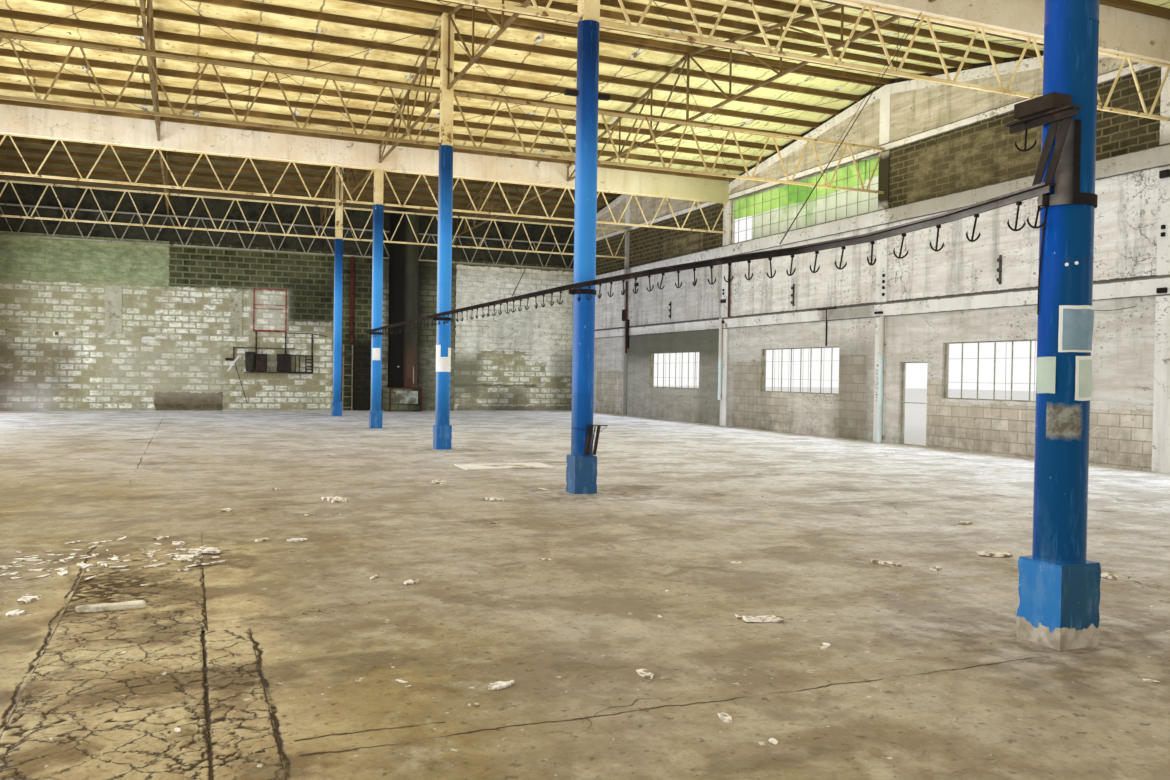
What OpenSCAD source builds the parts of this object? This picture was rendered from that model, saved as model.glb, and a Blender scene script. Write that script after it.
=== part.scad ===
// Production hall with three low roof gables, drawn as a 1:2 model in millimetres.
// x = 0 is the column row, y runs from the front wall to the back wall, z = 0 is the ground.

/* [Plan] */
// Distance between the column lines along the hall
bay = 4000; // [3800:20:4200]
// Length of the short bay in front of the back wall
end_bay = 2670; // [2400:10:2900]
// Width of one aisle, from the column row to the side wall
aisle = 5900; // [5600:20:6200]
// Thickness of all outer walls
wall_t = 100; // [80:5:120]
// Thickness of the floor slab
slab_t = 100; // [80:5:140]

/* [Columns] */
// Diameter of a round column
column_d = 155; // [140:1:165]
// Height of a round column above the floor
column_h = 3280; // [3200:10:3320]
// Side of the square plinth under a column
plinth_side = 168; // [166:1:180]
// Height of that plinth
plinth_h = 262; // [200:2:320]
// Height of the bevel around the plinth's top
plinth_bevel = 18; // [8:1:30]
// Side of the steel post on top of a column
head_side = 120; // [90:2:136]

/* [Roof] */
// Height of the top chord over the valleys
valley_h = 4095; // [4080:5:4160]
// Height of the top chord at the ridges
ridge_h = 4695; // [4600:5:4800]
// Width of a purlin
purlin_w = 34; // [24:1:50]
// Depth of a purlin
purlin_h = 75; // [68:1:95]
// Distance between purlins
purlin_gap = 470; // [440:5:520]
// Thickness of the lining over the purlins
lining_t = 6; // [4:1:10]
// Thickness of the roof sheets
sheet_t = 14; // [10:1:20]
// Overhang of the roof past the walls
eave = 150; // [100:5:200]
// Half width of a ridge cap
cap_w = 160; // [120:5:200]
// Outer width of a valley gutter
gutter_w = 120; // [100:2:140]
// Depth of a valley gutter
gutter_h = 70; // [40:1:80]

/* [Girders and trusses] */
// Side of a chord
chord = 30; // [24:1:38]
// Width of a web bar
web = 18; // [14:1:24]
// Height of the girders' top chord
girder_high = 3866; // [3840:2:3880]
// Web triangles in one girder of one aisle
girder_panels = 10; // [8:1:12]
// Web panels in one slope of a roof truss
truss_panels = 4; // [3:1:6]

/* [Valley beams] */
// Width of a concrete valley beam
beam_w = 150; // [120:5:180]
// Underside of a valley beam
beam_low = 3800; // [3780:5:3830]
// Top of a valley beam
beam_high = 4176; // [4150:2:4180]

/* [Wall frame] */
// Width of a wall post
post_w = 200; // [160:5:240]
// How far posts and beams stand proud of the panels
proud = 15; // [8:1:25]
// Underside of the string course
string_low = 1660; // [1620:5:1740]
// Top of the string course
string_high = 1840; // [1800:5:1900]
// Underside of the sill beam
sill_low = 2875; // [2800:5:2900]
// Top of the sill beam
sill_high = 3075; // [3040:5:3120]
// Underside of the head beam
head_low = 3835; // [3800:5:3850]
// Top of the head beam
head_high = 3930; // [3900:5:3940]
// Depth of the sloping band under the roof
band_h = 125; // [90:5:140]
// Height of the brickwork of the end walls
brick_h = 3370; // [3200:10:3500]
// Thickness of the cladding above it
cladding_t = 60; // [40:2:80]

/* [Openings] */
// Width of a window
window_w = 2000; // [1600:20:2400]
// Sill height of a window
window_low = 610; // [500:5:700]
// Head height of a window
window_high = 1290; // [1200:5:1400]
// How far a window lies before the middle of its bay
window_shift = 125; // [0:5:250]
// Width of a side door
door_w = 505; // [450:5:600]
// Height of a side door
door_h = 1060; // [1000:5:1150]
// Distance from a side door's middle to the next post line
door_back = 620; // [500:5:700]
// Width of the wide opening in the left wall's last bay
gate_w = 1600; // [1200:20:1900]
// Height of that opening
gate_h = 1500; // [1200:10:1650]
// Width of a front doorway
front_door_w = 1800; // [1400:20:2200]
// Height of a front doorway
front_door_h = 1900; // [1600:10:2200]

/* [Hook rail] */
// Width of the rail's top flange
rail_w = 44; // [36:1:50]
// Thickness of the flange and the web of the T-shaped rail
rail_t = 8; // [6:1:10]
// Depth of the rail
rail_h = 30; // [24:1:40]
// Height of the clamps that carry the rail on the columns
rail_clamp_h = 34; // [25:1:60]
// Thickness of those clamps
rail_clamp_t = 7; // [5:1:12]
// How far the short rail's top lies over the top of the rail's end
stay_rise = 216; // [190:2:240]
// Length of that short rail
stay_l = 250; // [200:5:300]
// Width of the flat stays between the two
stay_w = 30; // [24:1:40]
// Distance between the hooks
hook_gap = 178; // [160:2:220]
// Length of a hook, from the rail to the foot of its arms
hook_len = 95; // [80:1:120]
// Radius of a hook's curved arms
hook_r = 38; // [30:1:44]
// Thickness of a hook
hook_t = 7; // [6:1:9]

/* [Fittings] */
// Thickness of the timber stubs and of the timber block
arm_t = 45; // [36:1:60]
// Reach of the stubs on the second column
stub_l = 88; // [60:2:110]
// Height of those stubs
stub_z = 2770; // [2700:10:2850]
// Length of the timber block on the first column
block_l = 150; // [120:5:180]
// Diameter of a downpipe
pipe_d = 60; // [50:1:75]
// Diameter of the flue
flue_d = 620; // [560:5:680]
// Distance from the column row to the flue
flue_x = 1685; // [1600:5:1850]
// Distance between the flue and the back wall
flue_gap = 100; // [90:5:140]
// Width of the flue's masonry base
flue_base = 690; // [680:5:740]
// Height of that base
flue_base_h = 500; // [400:5:600]
// Gap between that base and the brick pier beside it
pier_gap = 20; // [5:5:60]
// Width of the brick pier
pier_w = 850; // [600:5:900]
// How far the brick pier stands out from the back wall
pier_t = 60; // [40:5:90]
// Distance from the column row to the ladder
ladder_x = 480; // [400:5:560]
// Width of the ladder
ladder_w = 212; // [180:2:240]
// Length of the ladder
ladder_h = 1400; // [1200:5:1440]
// Distance between its rungs
rung_gap = 228; // [180:2:260]
// Diameter of the old pipe over the ladder and of the one in the corner
old_pipe_d = 90; // [70:2:110]
// Thickness of the ledge and the flat piers on the back wall
strip_t = 14; // [8:1:20]

/* [Hidden] */

lines = 5;                                   // column lines inside the hall
inner_l = lines * bay + end_bay;
front = -inner_l / 2;                        // inner face of the front wall
back = inner_l / 2;                          // inner face of the back wall
half_w = aisle + wall_t;                     // outer face of a side wall
face = aisle - proud;                        // inner face of posts and beams
roof_w = 2 * (half_w + eave);
eave_front = front - wall_t - eave;
eave_back = back + wall_t + eave;
fall = (ridge_h - valley_h) / bay;           // rise of the roof per length
seam = 0.3;                                  // running gap between pieces that only touch
wall_end = 60;                               // middle of an end girder to its wall
mid_aisle = aisle / 2;
door_bays = [2];                             // bays with a side door beside the window
clear_bays = [3];                            // bays with an opening above the sill beam
window_bays = [0, 1, 2, 3, 4];
ridges = [1, 3, 5];
valleys = [2, 4];
tube_fn = 48;
girder_low = column_h + chord / 2;           // the bottom chord runs level with the columns' tops

function line_y(i) = i > lines ? back : front + i * bay;
function ridge_y(y) = line_y(y < line_y(2) ? 1 : y < line_y(4) ? 3 : 5);
// Plane that carries the purlins: the top of the sloping chords
function deck(y) = slab_t + ridge_h + chord / 2 - fall * abs(y - ridge_y(y));
function deck_of(y, ridge) = slab_t + ridge_h + chord / 2 - fall * abs(y - line_y(ridge));
function has(list, i) = len([for (v = list) if (v == i) v]) > 0;

// Prism along x with a profile in y and z
module along_x(x0, x1, profile) {
  translate([x0, 0, 0]) rotate([90, 0, 90]) linear_extrude(x1 - x0) polygon(profile);
}

module box(x0, x1, y0, y1, z0, z1) {
  translate([x0, y0, z0]) cube([x1 - x0, y1 - y0, z1 - z0]);
}

// Strip under or over the roof plane, between two distances from it
module roof_strip(x0, x1, y0, y1, ridge, low, high) {
  along_x(x0, x1, [
    [y0, deck_of(y0, ridge) + low], [y1, deck_of(y1, ridge) + low],
    [y1, deck_of(y1, ridge) + high], [y0, deck_of(y0, ridge) + high]
  ]);
}

// Bar of given width between two points of a profile
module bar2d(a, b, w) {
  run = norm(b - a);
  translate(a) rotate(atan2(b[1] - a[1], b[0] - a[0])) translate([0, -w / 2]) square([run, w]);
}

module on_side(side) {
  if (side < 0) mirror([1, 0, 0]) children();
  else children();
}

// Floor and columns

module floor_slab() {
  color("#b9b2a4") box(-half_w, half_w, front - wall_t, back + wall_t, 0, slab_t);
}

// Square block, bevelled around its top up to the round shaft
module plinth() {
  s = plinth_side / 2;
  top = (s + column_d / 2) / 2;
  low = plinth_h - plinth_bevel;
  profile = [[-s, 0], [s, 0], [s, low], [top, plinth_h], [-top, plinth_h], [-s, low]];
  intersection() {
    along_x(-s, s, profile);
    rotate(90) along_x(-s, s, profile);
  }
}

module column(i) {
  color("#0b4fae") translate([0, line_y(i), slab_t]) {
    plinth();
    cylinder(d = column_d, h = column_h, $fn = tube_fn);
  }
}

module column_heads() {
  color("#e8d9a0") for (i = [1:lines]) {
    top = has(valleys, i) ? slab_t + beam_low : deck(line_y(i)) - fall * head_side / 2;
    translate([-head_side / 2, line_y(i) - head_side / 2, slab_t + column_h])
      cube([head_side, head_side, top - slab_t - column_h]);
  }
}

// Side walls

function post_from(i) = i == 0 ? front - wall_t : line_y(i) - post_w / 2;
function post_to(i) = i > lines ? back + wall_t : line_y(i) + post_w / 2;

module posts(side) {
  color("#cfc6b8") on_side(side) for (i = [0:lines + 1]) {
    a = post_from(i);
    b = post_to(i);
    if (has(ridges, i))
      along_x(face, half_w, [[a, slab_t], [b, slab_t], [b, deck(b)], [line_y(i), deck(line_y(i))], [a, deck(a)]]);
    else if (has(valleys, i)) box(face, half_w, a, b, slab_t, deck(line_y(i)));
    else along_x(face, half_w, [[a, slab_t], [b, slab_t], [b, deck(b)], [a, deck(a)]]);
  }
}

module beams(side) {
  color("#c9c0ae") on_side(side) for (i = [0:lines]) {
    a = post_to(i);
    b = post_from(i + 1);
    for (z = [[string_low, string_high], [sill_low, sill_high], [head_low, head_high]])
      box(face, half_w, a, b, slab_t + z[0], slab_t + z[1]);
    roof_strip(face, half_w, a, b, i % 2 == 0 ? i + 1 : i, -band_h, 0);
  }
}

function window_mid(i) = line_y(i) + bay / 2 - window_shift;
function door_mid(i) = line_y(i + 1) - door_back;

// Places of the openings of one bay, as [from, to] along the wall
function gaps(side, i) = side < 0 && i == lines
  ? [[line_y(i) + (end_bay - gate_w) / 2, line_y(i) + (end_bay + gate_w) / 2]]
  : concat(
      has(window_bays, i) ? [[window_mid(i) - window_w / 2, window_mid(i) + window_w / 2]] : [],
      has(door_bays, i) ? [[door_mid(i) - door_w / 2, door_mid(i) + door_w / 2]] : []);

module piers(side) {
  color("#b5aa98") on_side(side) for (i = [0:lines]) {
    cuts = concat([post_to(i)], [for (g = gaps(side, i), v = g) v], [post_from(i + 1)]);
    for (k = [0:2:len(cuts) - 2]) box(aisle, half_w, cuts[k], cuts[k + 1], slab_t, slab_t + string_low);
  }
}

module spandrels(side) {
  color("#a89c88") on_side(side) {
    for (i = window_bays) {
      a = window_mid(i) - window_w / 2;
      box(aisle, half_w, a, a + window_w, slab_t, slab_t + window_low);
      box(aisle, half_w, a, a + window_w, slab_t + window_high, slab_t + string_low);
    }
    for (i = door_bays)
      box(aisle, half_w, door_mid(i) - door_w / 2, door_mid(i) + door_w / 2, slab_t + door_h, slab_t + string_low);
    if (side < 0) for (g = gaps(side, lines))
      box(aisle, half_w, g[0], g[1], slab_t + gate_h, slab_t + string_low);
  }
}

module upper_walls(side) {
  color("#cdc4b4") on_side(side) for (i = [0:lines]) {
    a = post_to(i);
    b = post_from(i + 1);
    ridge = i % 2 == 0 ? i + 1 : i;
    box(aisle, half_w, a, b, slab_t + string_high, slab_t + sill_low);
    if (!has(clear_bays, i)) box(aisle, half_w, a, b, slab_t + sill_high, slab_t + head_low);
    along_x(aisle, half_w, [
      [a, slab_t + head_high], [b, slab_t + head_high],
      [b, deck_of(b, ridge) - band_h], [a, deck_of(a, ridge) - band_h]
    ]);
  }
}

// End walls

module back_wall() {
  color("#8d867a") box(-face, face, back, back + wall_t, slab_t, slab_t + brick_h);
}

function front_gaps() = [for (s = [-1, 1], e = [-1, 1]) s * mid_aisle + e * front_door_w / 2];

module front_wall() {
  cuts = concat([-face], front_gaps(), [face]);
  color("#8d867a") for (k = [0:2:len(cuts) - 2])
    box(cuts[k], cuts[k + 1], front - wall_t, front, slab_t, slab_t + brick_h);
}

module end_lintels() {
  cuts = front_gaps();
  color("#a09684") for (k = [0, 2])
    box(cuts[k], cuts[k + 1], front - wall_t, front, slab_t + front_door_h, slab_t + brick_h);
}

module end_claddings() {
  rim = (wall_t - cladding_t) / 2;
  color("#4c4a44") for (y = [front - wall_t + rim, back + rim])
    along_x(-face, face, [
      [y, slab_t + brick_h], [y + cladding_t, slab_t + brick_h],
      [y + cladding_t, deck(y + cladding_t)], [y, deck(y)]
    ]);
}

module back_pier() {
  pier_x = flue_x + flue_base / 2 + pier_gap;
  color("#6d6650") box(pier_x, pier_x + pier_w, back - pier_t, back, slab_t, slab_t + girder_low - 2 * chord);
}

module valley_beams() {
  color("#e6dfbe") for (i = valleys)
    box(-face, face, line_y(i) - beam_w / 2, line_y(i) + beam_w / 2, slab_t + beam_low, slab_t + beam_high);
}

// Girders across the hall

// One girder between x0 and x1: two chords and a web of V bars in the plane between them
module girder(x0, x1, y, low, high, top_t) {
  pitch = (x1 - x0) / girder_panels;
  bottom = slab_t + low;
  top = slab_t + high;
  translate([0, y, 0]) {
    box(x0, x1, -chord / 2, chord / 2, bottom - chord / 2, bottom + chord / 2);
    box(x0, x1, -chord / 2, chord / 2, top - top_t / 2, top + top_t / 2);
    translate([0, web / 2, 0]) rotate([90, 0, 0]) linear_extrude(web) {
      for (k = [0:girder_panels - 1]) {
        foot = x0 + (k + 0.5) * pitch;
        bar2d([x0 + k * pitch + web, top], [foot - web, bottom], web);
        bar2d([foot + web, bottom], [x0 + (k + 1) * pitch - web, top], web);
      }
    }
  }
}

module ridge_girders() {
  color("#e8d9a0") for (i = ridges) {
    girder(-face, -head_side / 2, line_y(i), girder_low, girder_high, chord);
    girder(head_side / 2, face, line_y(i), girder_low, girder_high, chord);
  }
}

module valley_girders() {
  high = beam_low - chord / 4;
  color("#e6dcb0") for (i = valleys) {
    girder(-face, -head_side / 2, line_y(i), girder_low, high, chord / 2);
    girder(head_side / 2, face, line_y(i), girder_low, high, chord / 2);
  }
}

module end_girders() {
  color("#9a978c") for (y = [front + wall_end, back - wall_end]) {
    girder(-face, -seam, y, girder_low, girder_high, chord);
    girder(seam, face, y, girder_low, girder_high, chord);
  }
}

// Roof trusses along the hall

// One slope of a truss between y0 and y1 under a ridge line: chords, posts and diagonals
module half_truss(y0, y1, ridge) {
  low = slab_t + girder_high + chord;        // middle of the bottom chord, which lies on the girders
  step = (y1 - y0) / truss_panels;
  rise = deck_of(y1, ridge) > deck_of(y0, ridge);
  along_x(-chord / 2, chord / 2, [
    [y0, low - chord / 2], [y1, low - chord / 2], [y1, low + chord / 2], [y0, low + chord / 2]
  ]);
  roof_strip(-chord / 2, chord / 2, y0, y1, ridge, -chord, 0);
  translate([-web / 2, 0, 0]) rotate([90, 0, 90]) linear_extrude(web) {
    for (k = [0:truss_panels]) {
      y = min(max(y0 + k * step, y0 + web / 2), y1 - web / 2);
      bar2d([y, low], [y, deck_of(y, ridge) - chord / 2], web);
    }
    for (k = [0:truss_panels - 1]) {
      a = y0 + (rise ? k : k + 1) * step;
      b = y0 + (rise ? k + 1 : k) * step;
      bar2d([a, low], [b, deck_of(b, ridge) - chord / 2 - 2], web);
    }
  }
}

module truss_line(x) {
  off = x == 0 ? head_side / 2 : 0;
  color("#e8d9a0") translate([x, 0, 0]) for (i = ridges) {
    left_end = i == 1 ? front : line_y(i - 1) + beam_w / 2;
    right_end = i == lines ? back : line_y(i + 1) - beam_w / 2;
    half_truss(left_end, line_y(i) - off, i);
    half_truss(line_y(i) + off, right_end, i);
  }
}

// Purlins and roof

// Ends of a roof slope: s counts the slopes from the front, odd ones rise to the back
function slope_ridge(s) = s % 2 == 1 ? s : s - 1;
function slope_from(s) = s == 1 ? eave_front : s % 2 == 1 ? line_y(s - 1) + gutter_w / 2 + seam : line_y(s - 1);
function slope_to(s) = s == 6 ? eave_back : s % 2 == 1 ? line_y(s) : line_y(s) - gutter_w / 2 - seam;

module purlins(first) {
  start = 60;
  color("#7d6028") for (s = [first:2:6]) {
    ridge = line_y(slope_ridge(s));
    way = s % 2 == 1 ? -1 : 1;
    reach = abs((way < 0 ? slope_from(s) : slope_to(s)) - ridge) - purlin_w;
    inner = s == 1 || s == 6 ? reach : bay - beam_w / 2 - purlin_w;
    for (d = [start:purlin_gap:inner], y = [ridge + way * d])
      roof_strip(-half_w - eave + purlin_w, half_w + eave - purlin_w, y - purlin_w / 2, y + purlin_w / 2,
                 slope_ridge(s), 0, purlin_h);
  }
}

module roof_slopes(first) {
  low = purlin_h + lining_t;
  color("#9a9c98") for (s = [first:2:6])
    roof_strip(-roof_w / 2, roof_w / 2, slope_from(s), slope_to(s), slope_ridge(s), low, low + sheet_t);
}

module roof_lining() {
  color("#e6d58a") for (s = [1:6]) {
    open = s % 2 == 1 ? [0, -seam] : [seam, 0];
    roof_strip(-half_w, half_w, slope_from(s) + open[0], slope_to(s) + open[1], slope_ridge(s),
               purlin_h, purlin_h + lining_t);
  }
}

module ridge_caps() {
  low = purlin_h + lining_t + sheet_t;
  cap_t = 6;
  color("#a4a6a2") for (i = ridges) {
    y = line_y(i);
    side_z = deck_of(y + cap_w, i) + low;
    top_z = deck_of(y, i) + low;
    along_x(-roof_w / 2, roof_w / 2, [
      [y - cap_w, side_z], [y, top_z], [y + cap_w, side_z],
      [y + cap_w, side_z + cap_t], [y, top_z + cap_t], [y - cap_w, side_z + cap_t]
    ]);
  }
}

module valley_gutters() {
  t = 5;
  a = gutter_w / 2;
  low = slab_t + beam_high;
  color("#8f918c") for (i = valleys)
    along_x(-half_w - eave, half_w + eave, [for (p = [
      [-a, 0], [a, 0], [a, gutter_h], [a - t, gutter_h], [a - t, t], [t - a, t], [t - a, gutter_h], [-a, gutter_h]
    ]) [line_y(i) + p[0], low + p[1]]]);
}

// Hook rail

// Underside of the rail, as distance past the first column line and height above the floor
rail_route = [
  [-30, 1412], [400, 1380], [820, 1363], [1300, 1368], [1700, 1383], [2600, 1405], [4000, 1423],
  [8000, 1428], [12000, 1410], [12250, 1405]
];
clamp_r = column_d / 2 + seam + rail_clamp_t;
rail_x = clamp_r + seam + rail_w / 2;        // from the column row to the middle of the rail

function rail_z(d) = slab_t + lookup(d, rail_route);

// Strip along the rail's route, between two distances from its underside
module rail_strip(width, low, high) {
  y1 = line_y(1);
  along_x(-rail_x - width / 2, -rail_x + width / 2, concat(
    [for (p = rail_route) [y1 + p[0], slab_t + p[1] + low]],
    [for (k = [len(rail_route) - 1:-1:0]) [y1 + rail_route[k][0], slab_t + rail_route[k][1] + high]]
  ));
}

module hook_rail() {
  color("#3a332c") {
    rail_strip(rail_t, 0, rail_h - rail_t);
    rail_strip(rail_w, rail_h - rail_t, rail_h);
  }
}

// Anchor-shaped double hook, hung with its top at the origin
module double_hook() {
  rotate([90, 0, 90]) translate([0, 0, -hook_t / 2]) linear_extrude(hook_t) {
    translate([-hook_t / 2, -hook_len]) square([hook_t, hook_len]);
    translate([0, hook_r - hook_t / 2 - hook_len]) intersection() {
      difference() {
        circle(r = hook_r, $fn = 32);
        circle(r = hook_r - hook_t, $fn = 32);
      }
      translate([-hook_r, -hook_r]) square([2 * hook_r, 0.7 * hook_r]);
    }
  }
}

module rail_hooks() {
  last = rail_route[len(rail_route) - 1][0];
  color("#2f2b27") for (d = [hook_gap / 2:hook_gap:last])
    if (abs(d / bay - round(d / bay)) * bay > column_d / 2)
      translate([-rail_x, line_y(1) + d, rail_z(d)]) double_hook();
}

module rail_clamps() {
  color("#2a2826") for (i = [1:4])
    translate([0, line_y(i), rail_z((i - 1) * bay) - rail_clamp_h]) {
      difference() {
        cylinder(r = clamp_r, h = rail_clamp_h, $fn = tube_fn);
        translate([0, 0, -1]) cylinder(r = clamp_r - rail_clamp_t, h = rail_clamp_h + 2, $fn = tube_fn);
      }
      box(-rail_x - rail_t, -clamp_r + rail_clamp_t / 2, -rail_t, rail_t, 0, rail_clamp_h - 2 * seam);
    }
}

// Short rail over the rail's end at the first column, and two flat stays down from it
stay_top = slab_t + rail_route[0][1] + rail_h + stay_rise;
stay_from = line_y(1) - 0.47 * stay_l;

module rail_stays() {
  head = stay_top - rail_h + rail_t;
  reach = 70;
  y1 = stay_from + stay_l;
  color("#2f2a25") {
    box(-rail_x - rail_t / 2, -rail_x + rail_t / 2, stay_from, y1, stay_top - rail_h, stay_top - rail_t);
    box(-rail_x - rail_w / 2, -rail_x + rail_w / 2, stay_from, y1, stay_top - rail_t, stay_top);
    for (d = [-100, -54]) {
      foot = rail_z(d + reach) + rail_h;
      y = line_y(1) + d;
      along_x(-rail_x + rail_t / 2, -rail_x + rail_t, [
        [y, head], [y + stay_w, head], [y + reach + stay_w, foot + seam], [y + reach, foot + seam]
      ]);
    }
  }
}

// Timber: stubs at both sides of the second column, and a block over the short rail at the first
module column_arms() {
  edge = column_d / 2 + seam;
  color("#4a3a28") {
    translate([0, line_y(2), slab_t + stub_z]) for (s = [-1, 1]) on_side(s)
      box(edge, edge + stub_l, -arm_t / 2, arm_t / 2, 0, 0.7 * arm_t);
    translate([0, line_y(1), stay_top + seam]) box(-edge - block_l / 2, -edge, -block_l / 2, block_l / 2, 0, arm_t);
  }
}

// Pipes, racks, flue and ladder

module downpipes() {
  y3 = line_y(3) - post_w / 2 + pipe_d / 2 + 5;
  y4 = line_y(4) + post_w / 2 - pipe_d / 2 - 5;
  color("#b9c9cc") {
    translate([face - pipe_d / 2 - seam, y3, slab_t]) cylinder(d = pipe_d, h = string_low, $fn = tube_fn);
    translate([face - pipe_d / 2 - seam, y4, slab_t + 440])
      cylinder(d = pipe_d, h = string_high - 440, $fn = tube_fn);
  }
}

module insulator_racks() {
  rack_h = 330;
  rack_z = slab_t + string_high + 85;
  color("#3c3a36") for (i = [1:4])
    translate([aisle, line_y(i) + bay / 2, rack_z]) {
      translate([-12, -16, 0]) cube([12, 32, rack_h]);
      for (k = [0:2]) translate([-40, 0, 50 + k * 110]) rotate([0, 90, 0]) cylinder(d = 44, h = 28, $fn = 24);
    }
}

module flue() {
  y = back - flue_gap - flue_d / 2;
  top = deck(y + flue_d / 2) - chord - 40;
  color("#2c2a28") translate([flue_x, y, slab_t + flue_base_h]) difference() {
    cylinder(d = flue_d, h = top - slab_t - flue_base_h, $fn = tube_fn);
    translate([0, 0, 20]) cylinder(d = flue_d - 24, h = top, $fn = tube_fn);
  }
}

module flue_base_block() {
  rim = 15;
  color("#77695a") box(flue_x - flue_base / 2, flue_x + flue_base / 2, back - flue_gap - flue_d - rim, back,
                       slab_t, slab_t + flue_base_h);
}

// Old pipes on brackets: one from over the ladder to the end girder, one up the right corner
module old_pipes() {
  axis = back - old_pipe_d / 2 - 12;
  low = slab_t + ladder_h + 60;
  top = slab_t + girder_low - chord / 2 - 3 * seam;
  bracket = 30;
  color("#5b2f22") for (p = [[ladder_x + ladder_w - 30, low], [face - old_pipe_d, slab_t + string_high]]) {
    translate([p[0], axis, p[1]]) cylinder(d = old_pipe_d, h = top - p[1], $fn = tube_fn);
    for (z = [p[1] + 2 * old_pipe_d, (p[1] + top) / 2, top - 2 * old_pipe_d])
      box(p[0] - bracket / 2, p[0] + bracket / 2, axis, back, z, z + bracket);
  }
}

module ladder() {
  stile = 22;
  rung_t = 16;
  ladder_gap = 30;
  x = ladder_x;
  color("#5a4a38") {
    for (dx = [0, ladder_w - stile]) {
      box(x + dx, x + dx + stile, back - 2 * ladder_gap, back - ladder_gap, slab_t, slab_t + ladder_h);
      box(x + dx, x + dx + stile, back - ladder_gap, back, slab_t + ladder_h - stile, slab_t + ladder_h);
    }
    for (z = [rung_gap / 4:rung_gap:ladder_h - rung_gap / 2])
      box(x + stile, x + ladder_w - stile, back - 1.8 * ladder_gap, back - 1.2 * ladder_gap,
          slab_t + z, slab_t + z + rung_t);
  }
}

// Ledge and two flat piers in relief on the back wall
module back_strips() {
  ledge_z = slab_t + 1510;
  ledge_h = 40;
  rise = 890;
  color("#b5ad94") {
    box(-face, -1490, back - strip_t, back, ledge_z, ledge_z + ledge_h);
    for (p = [[-4070, 300], [-1770, 220]])
      box(p[0], p[0] + p[1], back - strip_t, back, ledge_z + ledge_h, ledge_z + ledge_h + rise);
  }
}

// Steel angle frame on the back wall with a shelf rack under it
module wall_rack() {
  t = 16;
  depth = 110;
  x0 = -1320;
  x1 = -685;
  color("#8a2f22") {
    for (x = [x0, (x0 + x1) / 2, x1]) box(x - t / 2, x + t / 2, back - t, back, slab_t + 1625, slab_t + 2535);
    for (z = [1625, 2080, 2535]) box(x0 - t / 2, x1 + t / 2, back - t, back, slab_t + z - t / 2, slab_t + z + t / 2);
  }
  color("#35302b") for (z = [800, 1160, 1500])
    box(-1245, -140, back - depth, back, slab_t + z, slab_t + z + t);
}

module tarpaulin() {
  i = clear_bays[0];
  color("#a8cf9a") box(half_w - 24, half_w - 12, post_to(i) + 3, post_from(i + 1) - 3,
                       slab_t + sill_high + seam, slab_t + head_low - seam);
}

floor_slab();
column(1);  // column_1
column(2);  // column_2
column(3);  // column_3
column(4);  // column_4
column(5);  // column_5
column_heads();
posts(1);  // right_posts
beams(1);  // right_beams
piers(1);  // right_piers
spandrels(1);  // right_spandrels
upper_walls(1);  // right_upper_walls
posts(-1);  // left_posts
beams(-1);  // left_beams
piers(-1);  // left_piers
spandrels(-1);  // left_spandrels
upper_walls(-1);  // left_upper_walls
back_wall();
front_wall();
end_lintels();
end_claddings();
back_pier();
valley_beams();
ridge_girders();
valley_girders();
end_girders();
truss_line(-mid_aisle);  // roof_truss_left
truss_line(0);  // roof_truss_row
truss_line(mid_aisle);  // roof_truss_right
purlins(1);  // rising_purlins
purlins(2);  // falling_purlins
roof_slopes(1);  // rising_roof
roof_slopes(2);  // falling_roof
roof_lining();
ridge_caps();
valley_gutters();
hook_rail();
rail_hooks();
rail_clamps();
rail_stays();
column_arms();
downpipes();
old_pipes();
insulator_racks();
flue();
flue_base_block();
ladder();
back_strips();
wall_rack();
tarpaulin();
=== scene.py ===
import bpy
import math
import random
from mathutils import Euler, Matrix, Vector, noise


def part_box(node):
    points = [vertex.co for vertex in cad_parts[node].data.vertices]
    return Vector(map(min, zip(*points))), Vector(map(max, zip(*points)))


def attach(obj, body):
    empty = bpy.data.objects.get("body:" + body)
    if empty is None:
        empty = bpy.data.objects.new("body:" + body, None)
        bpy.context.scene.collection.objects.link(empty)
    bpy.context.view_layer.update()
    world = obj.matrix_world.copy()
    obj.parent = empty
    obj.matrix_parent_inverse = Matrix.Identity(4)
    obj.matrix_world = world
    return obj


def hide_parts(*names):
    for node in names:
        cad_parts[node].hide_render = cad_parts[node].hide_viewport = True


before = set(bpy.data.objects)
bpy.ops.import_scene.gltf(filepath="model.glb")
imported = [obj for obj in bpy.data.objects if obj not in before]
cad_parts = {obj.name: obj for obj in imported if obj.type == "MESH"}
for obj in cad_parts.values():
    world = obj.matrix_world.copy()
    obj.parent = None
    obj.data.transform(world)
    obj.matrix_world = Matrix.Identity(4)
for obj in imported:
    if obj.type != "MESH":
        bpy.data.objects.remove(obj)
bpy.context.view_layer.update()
random.seed(11)
noise.seed_set(11)  # without it noise_vector starts from the clock
print("frame loaded")

# Places taken from the frame, in metres. The building is a 1:2 model, so 1 mm here is 2 mm on site.
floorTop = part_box("floor_slab")[1].z
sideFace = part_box("right_piers")[0].x  # inner face of a side wall
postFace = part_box("right_posts")[0].x  # inner face of its posts and beams
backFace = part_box("back_wall")[0].y
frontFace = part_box("front_wall")[1].y
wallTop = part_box("back_wall")[1].z
lineY = [sum(corner.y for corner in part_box(f"column_{i}")) / 2 for i in range(1, 6)]
lineY = [2 * lineY[0] - lineY[1]] + lineY + [backFace]  # front wall, five column lines, back wall
bay = lineY[2] - lineY[1]
postHalf = 0.1
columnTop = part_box("column_1")[1].z
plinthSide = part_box("column_1")[1].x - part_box("column_1")[0].x
columnRadius = 0.0775


# Camera, at the photograph's place in the front bay

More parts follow.
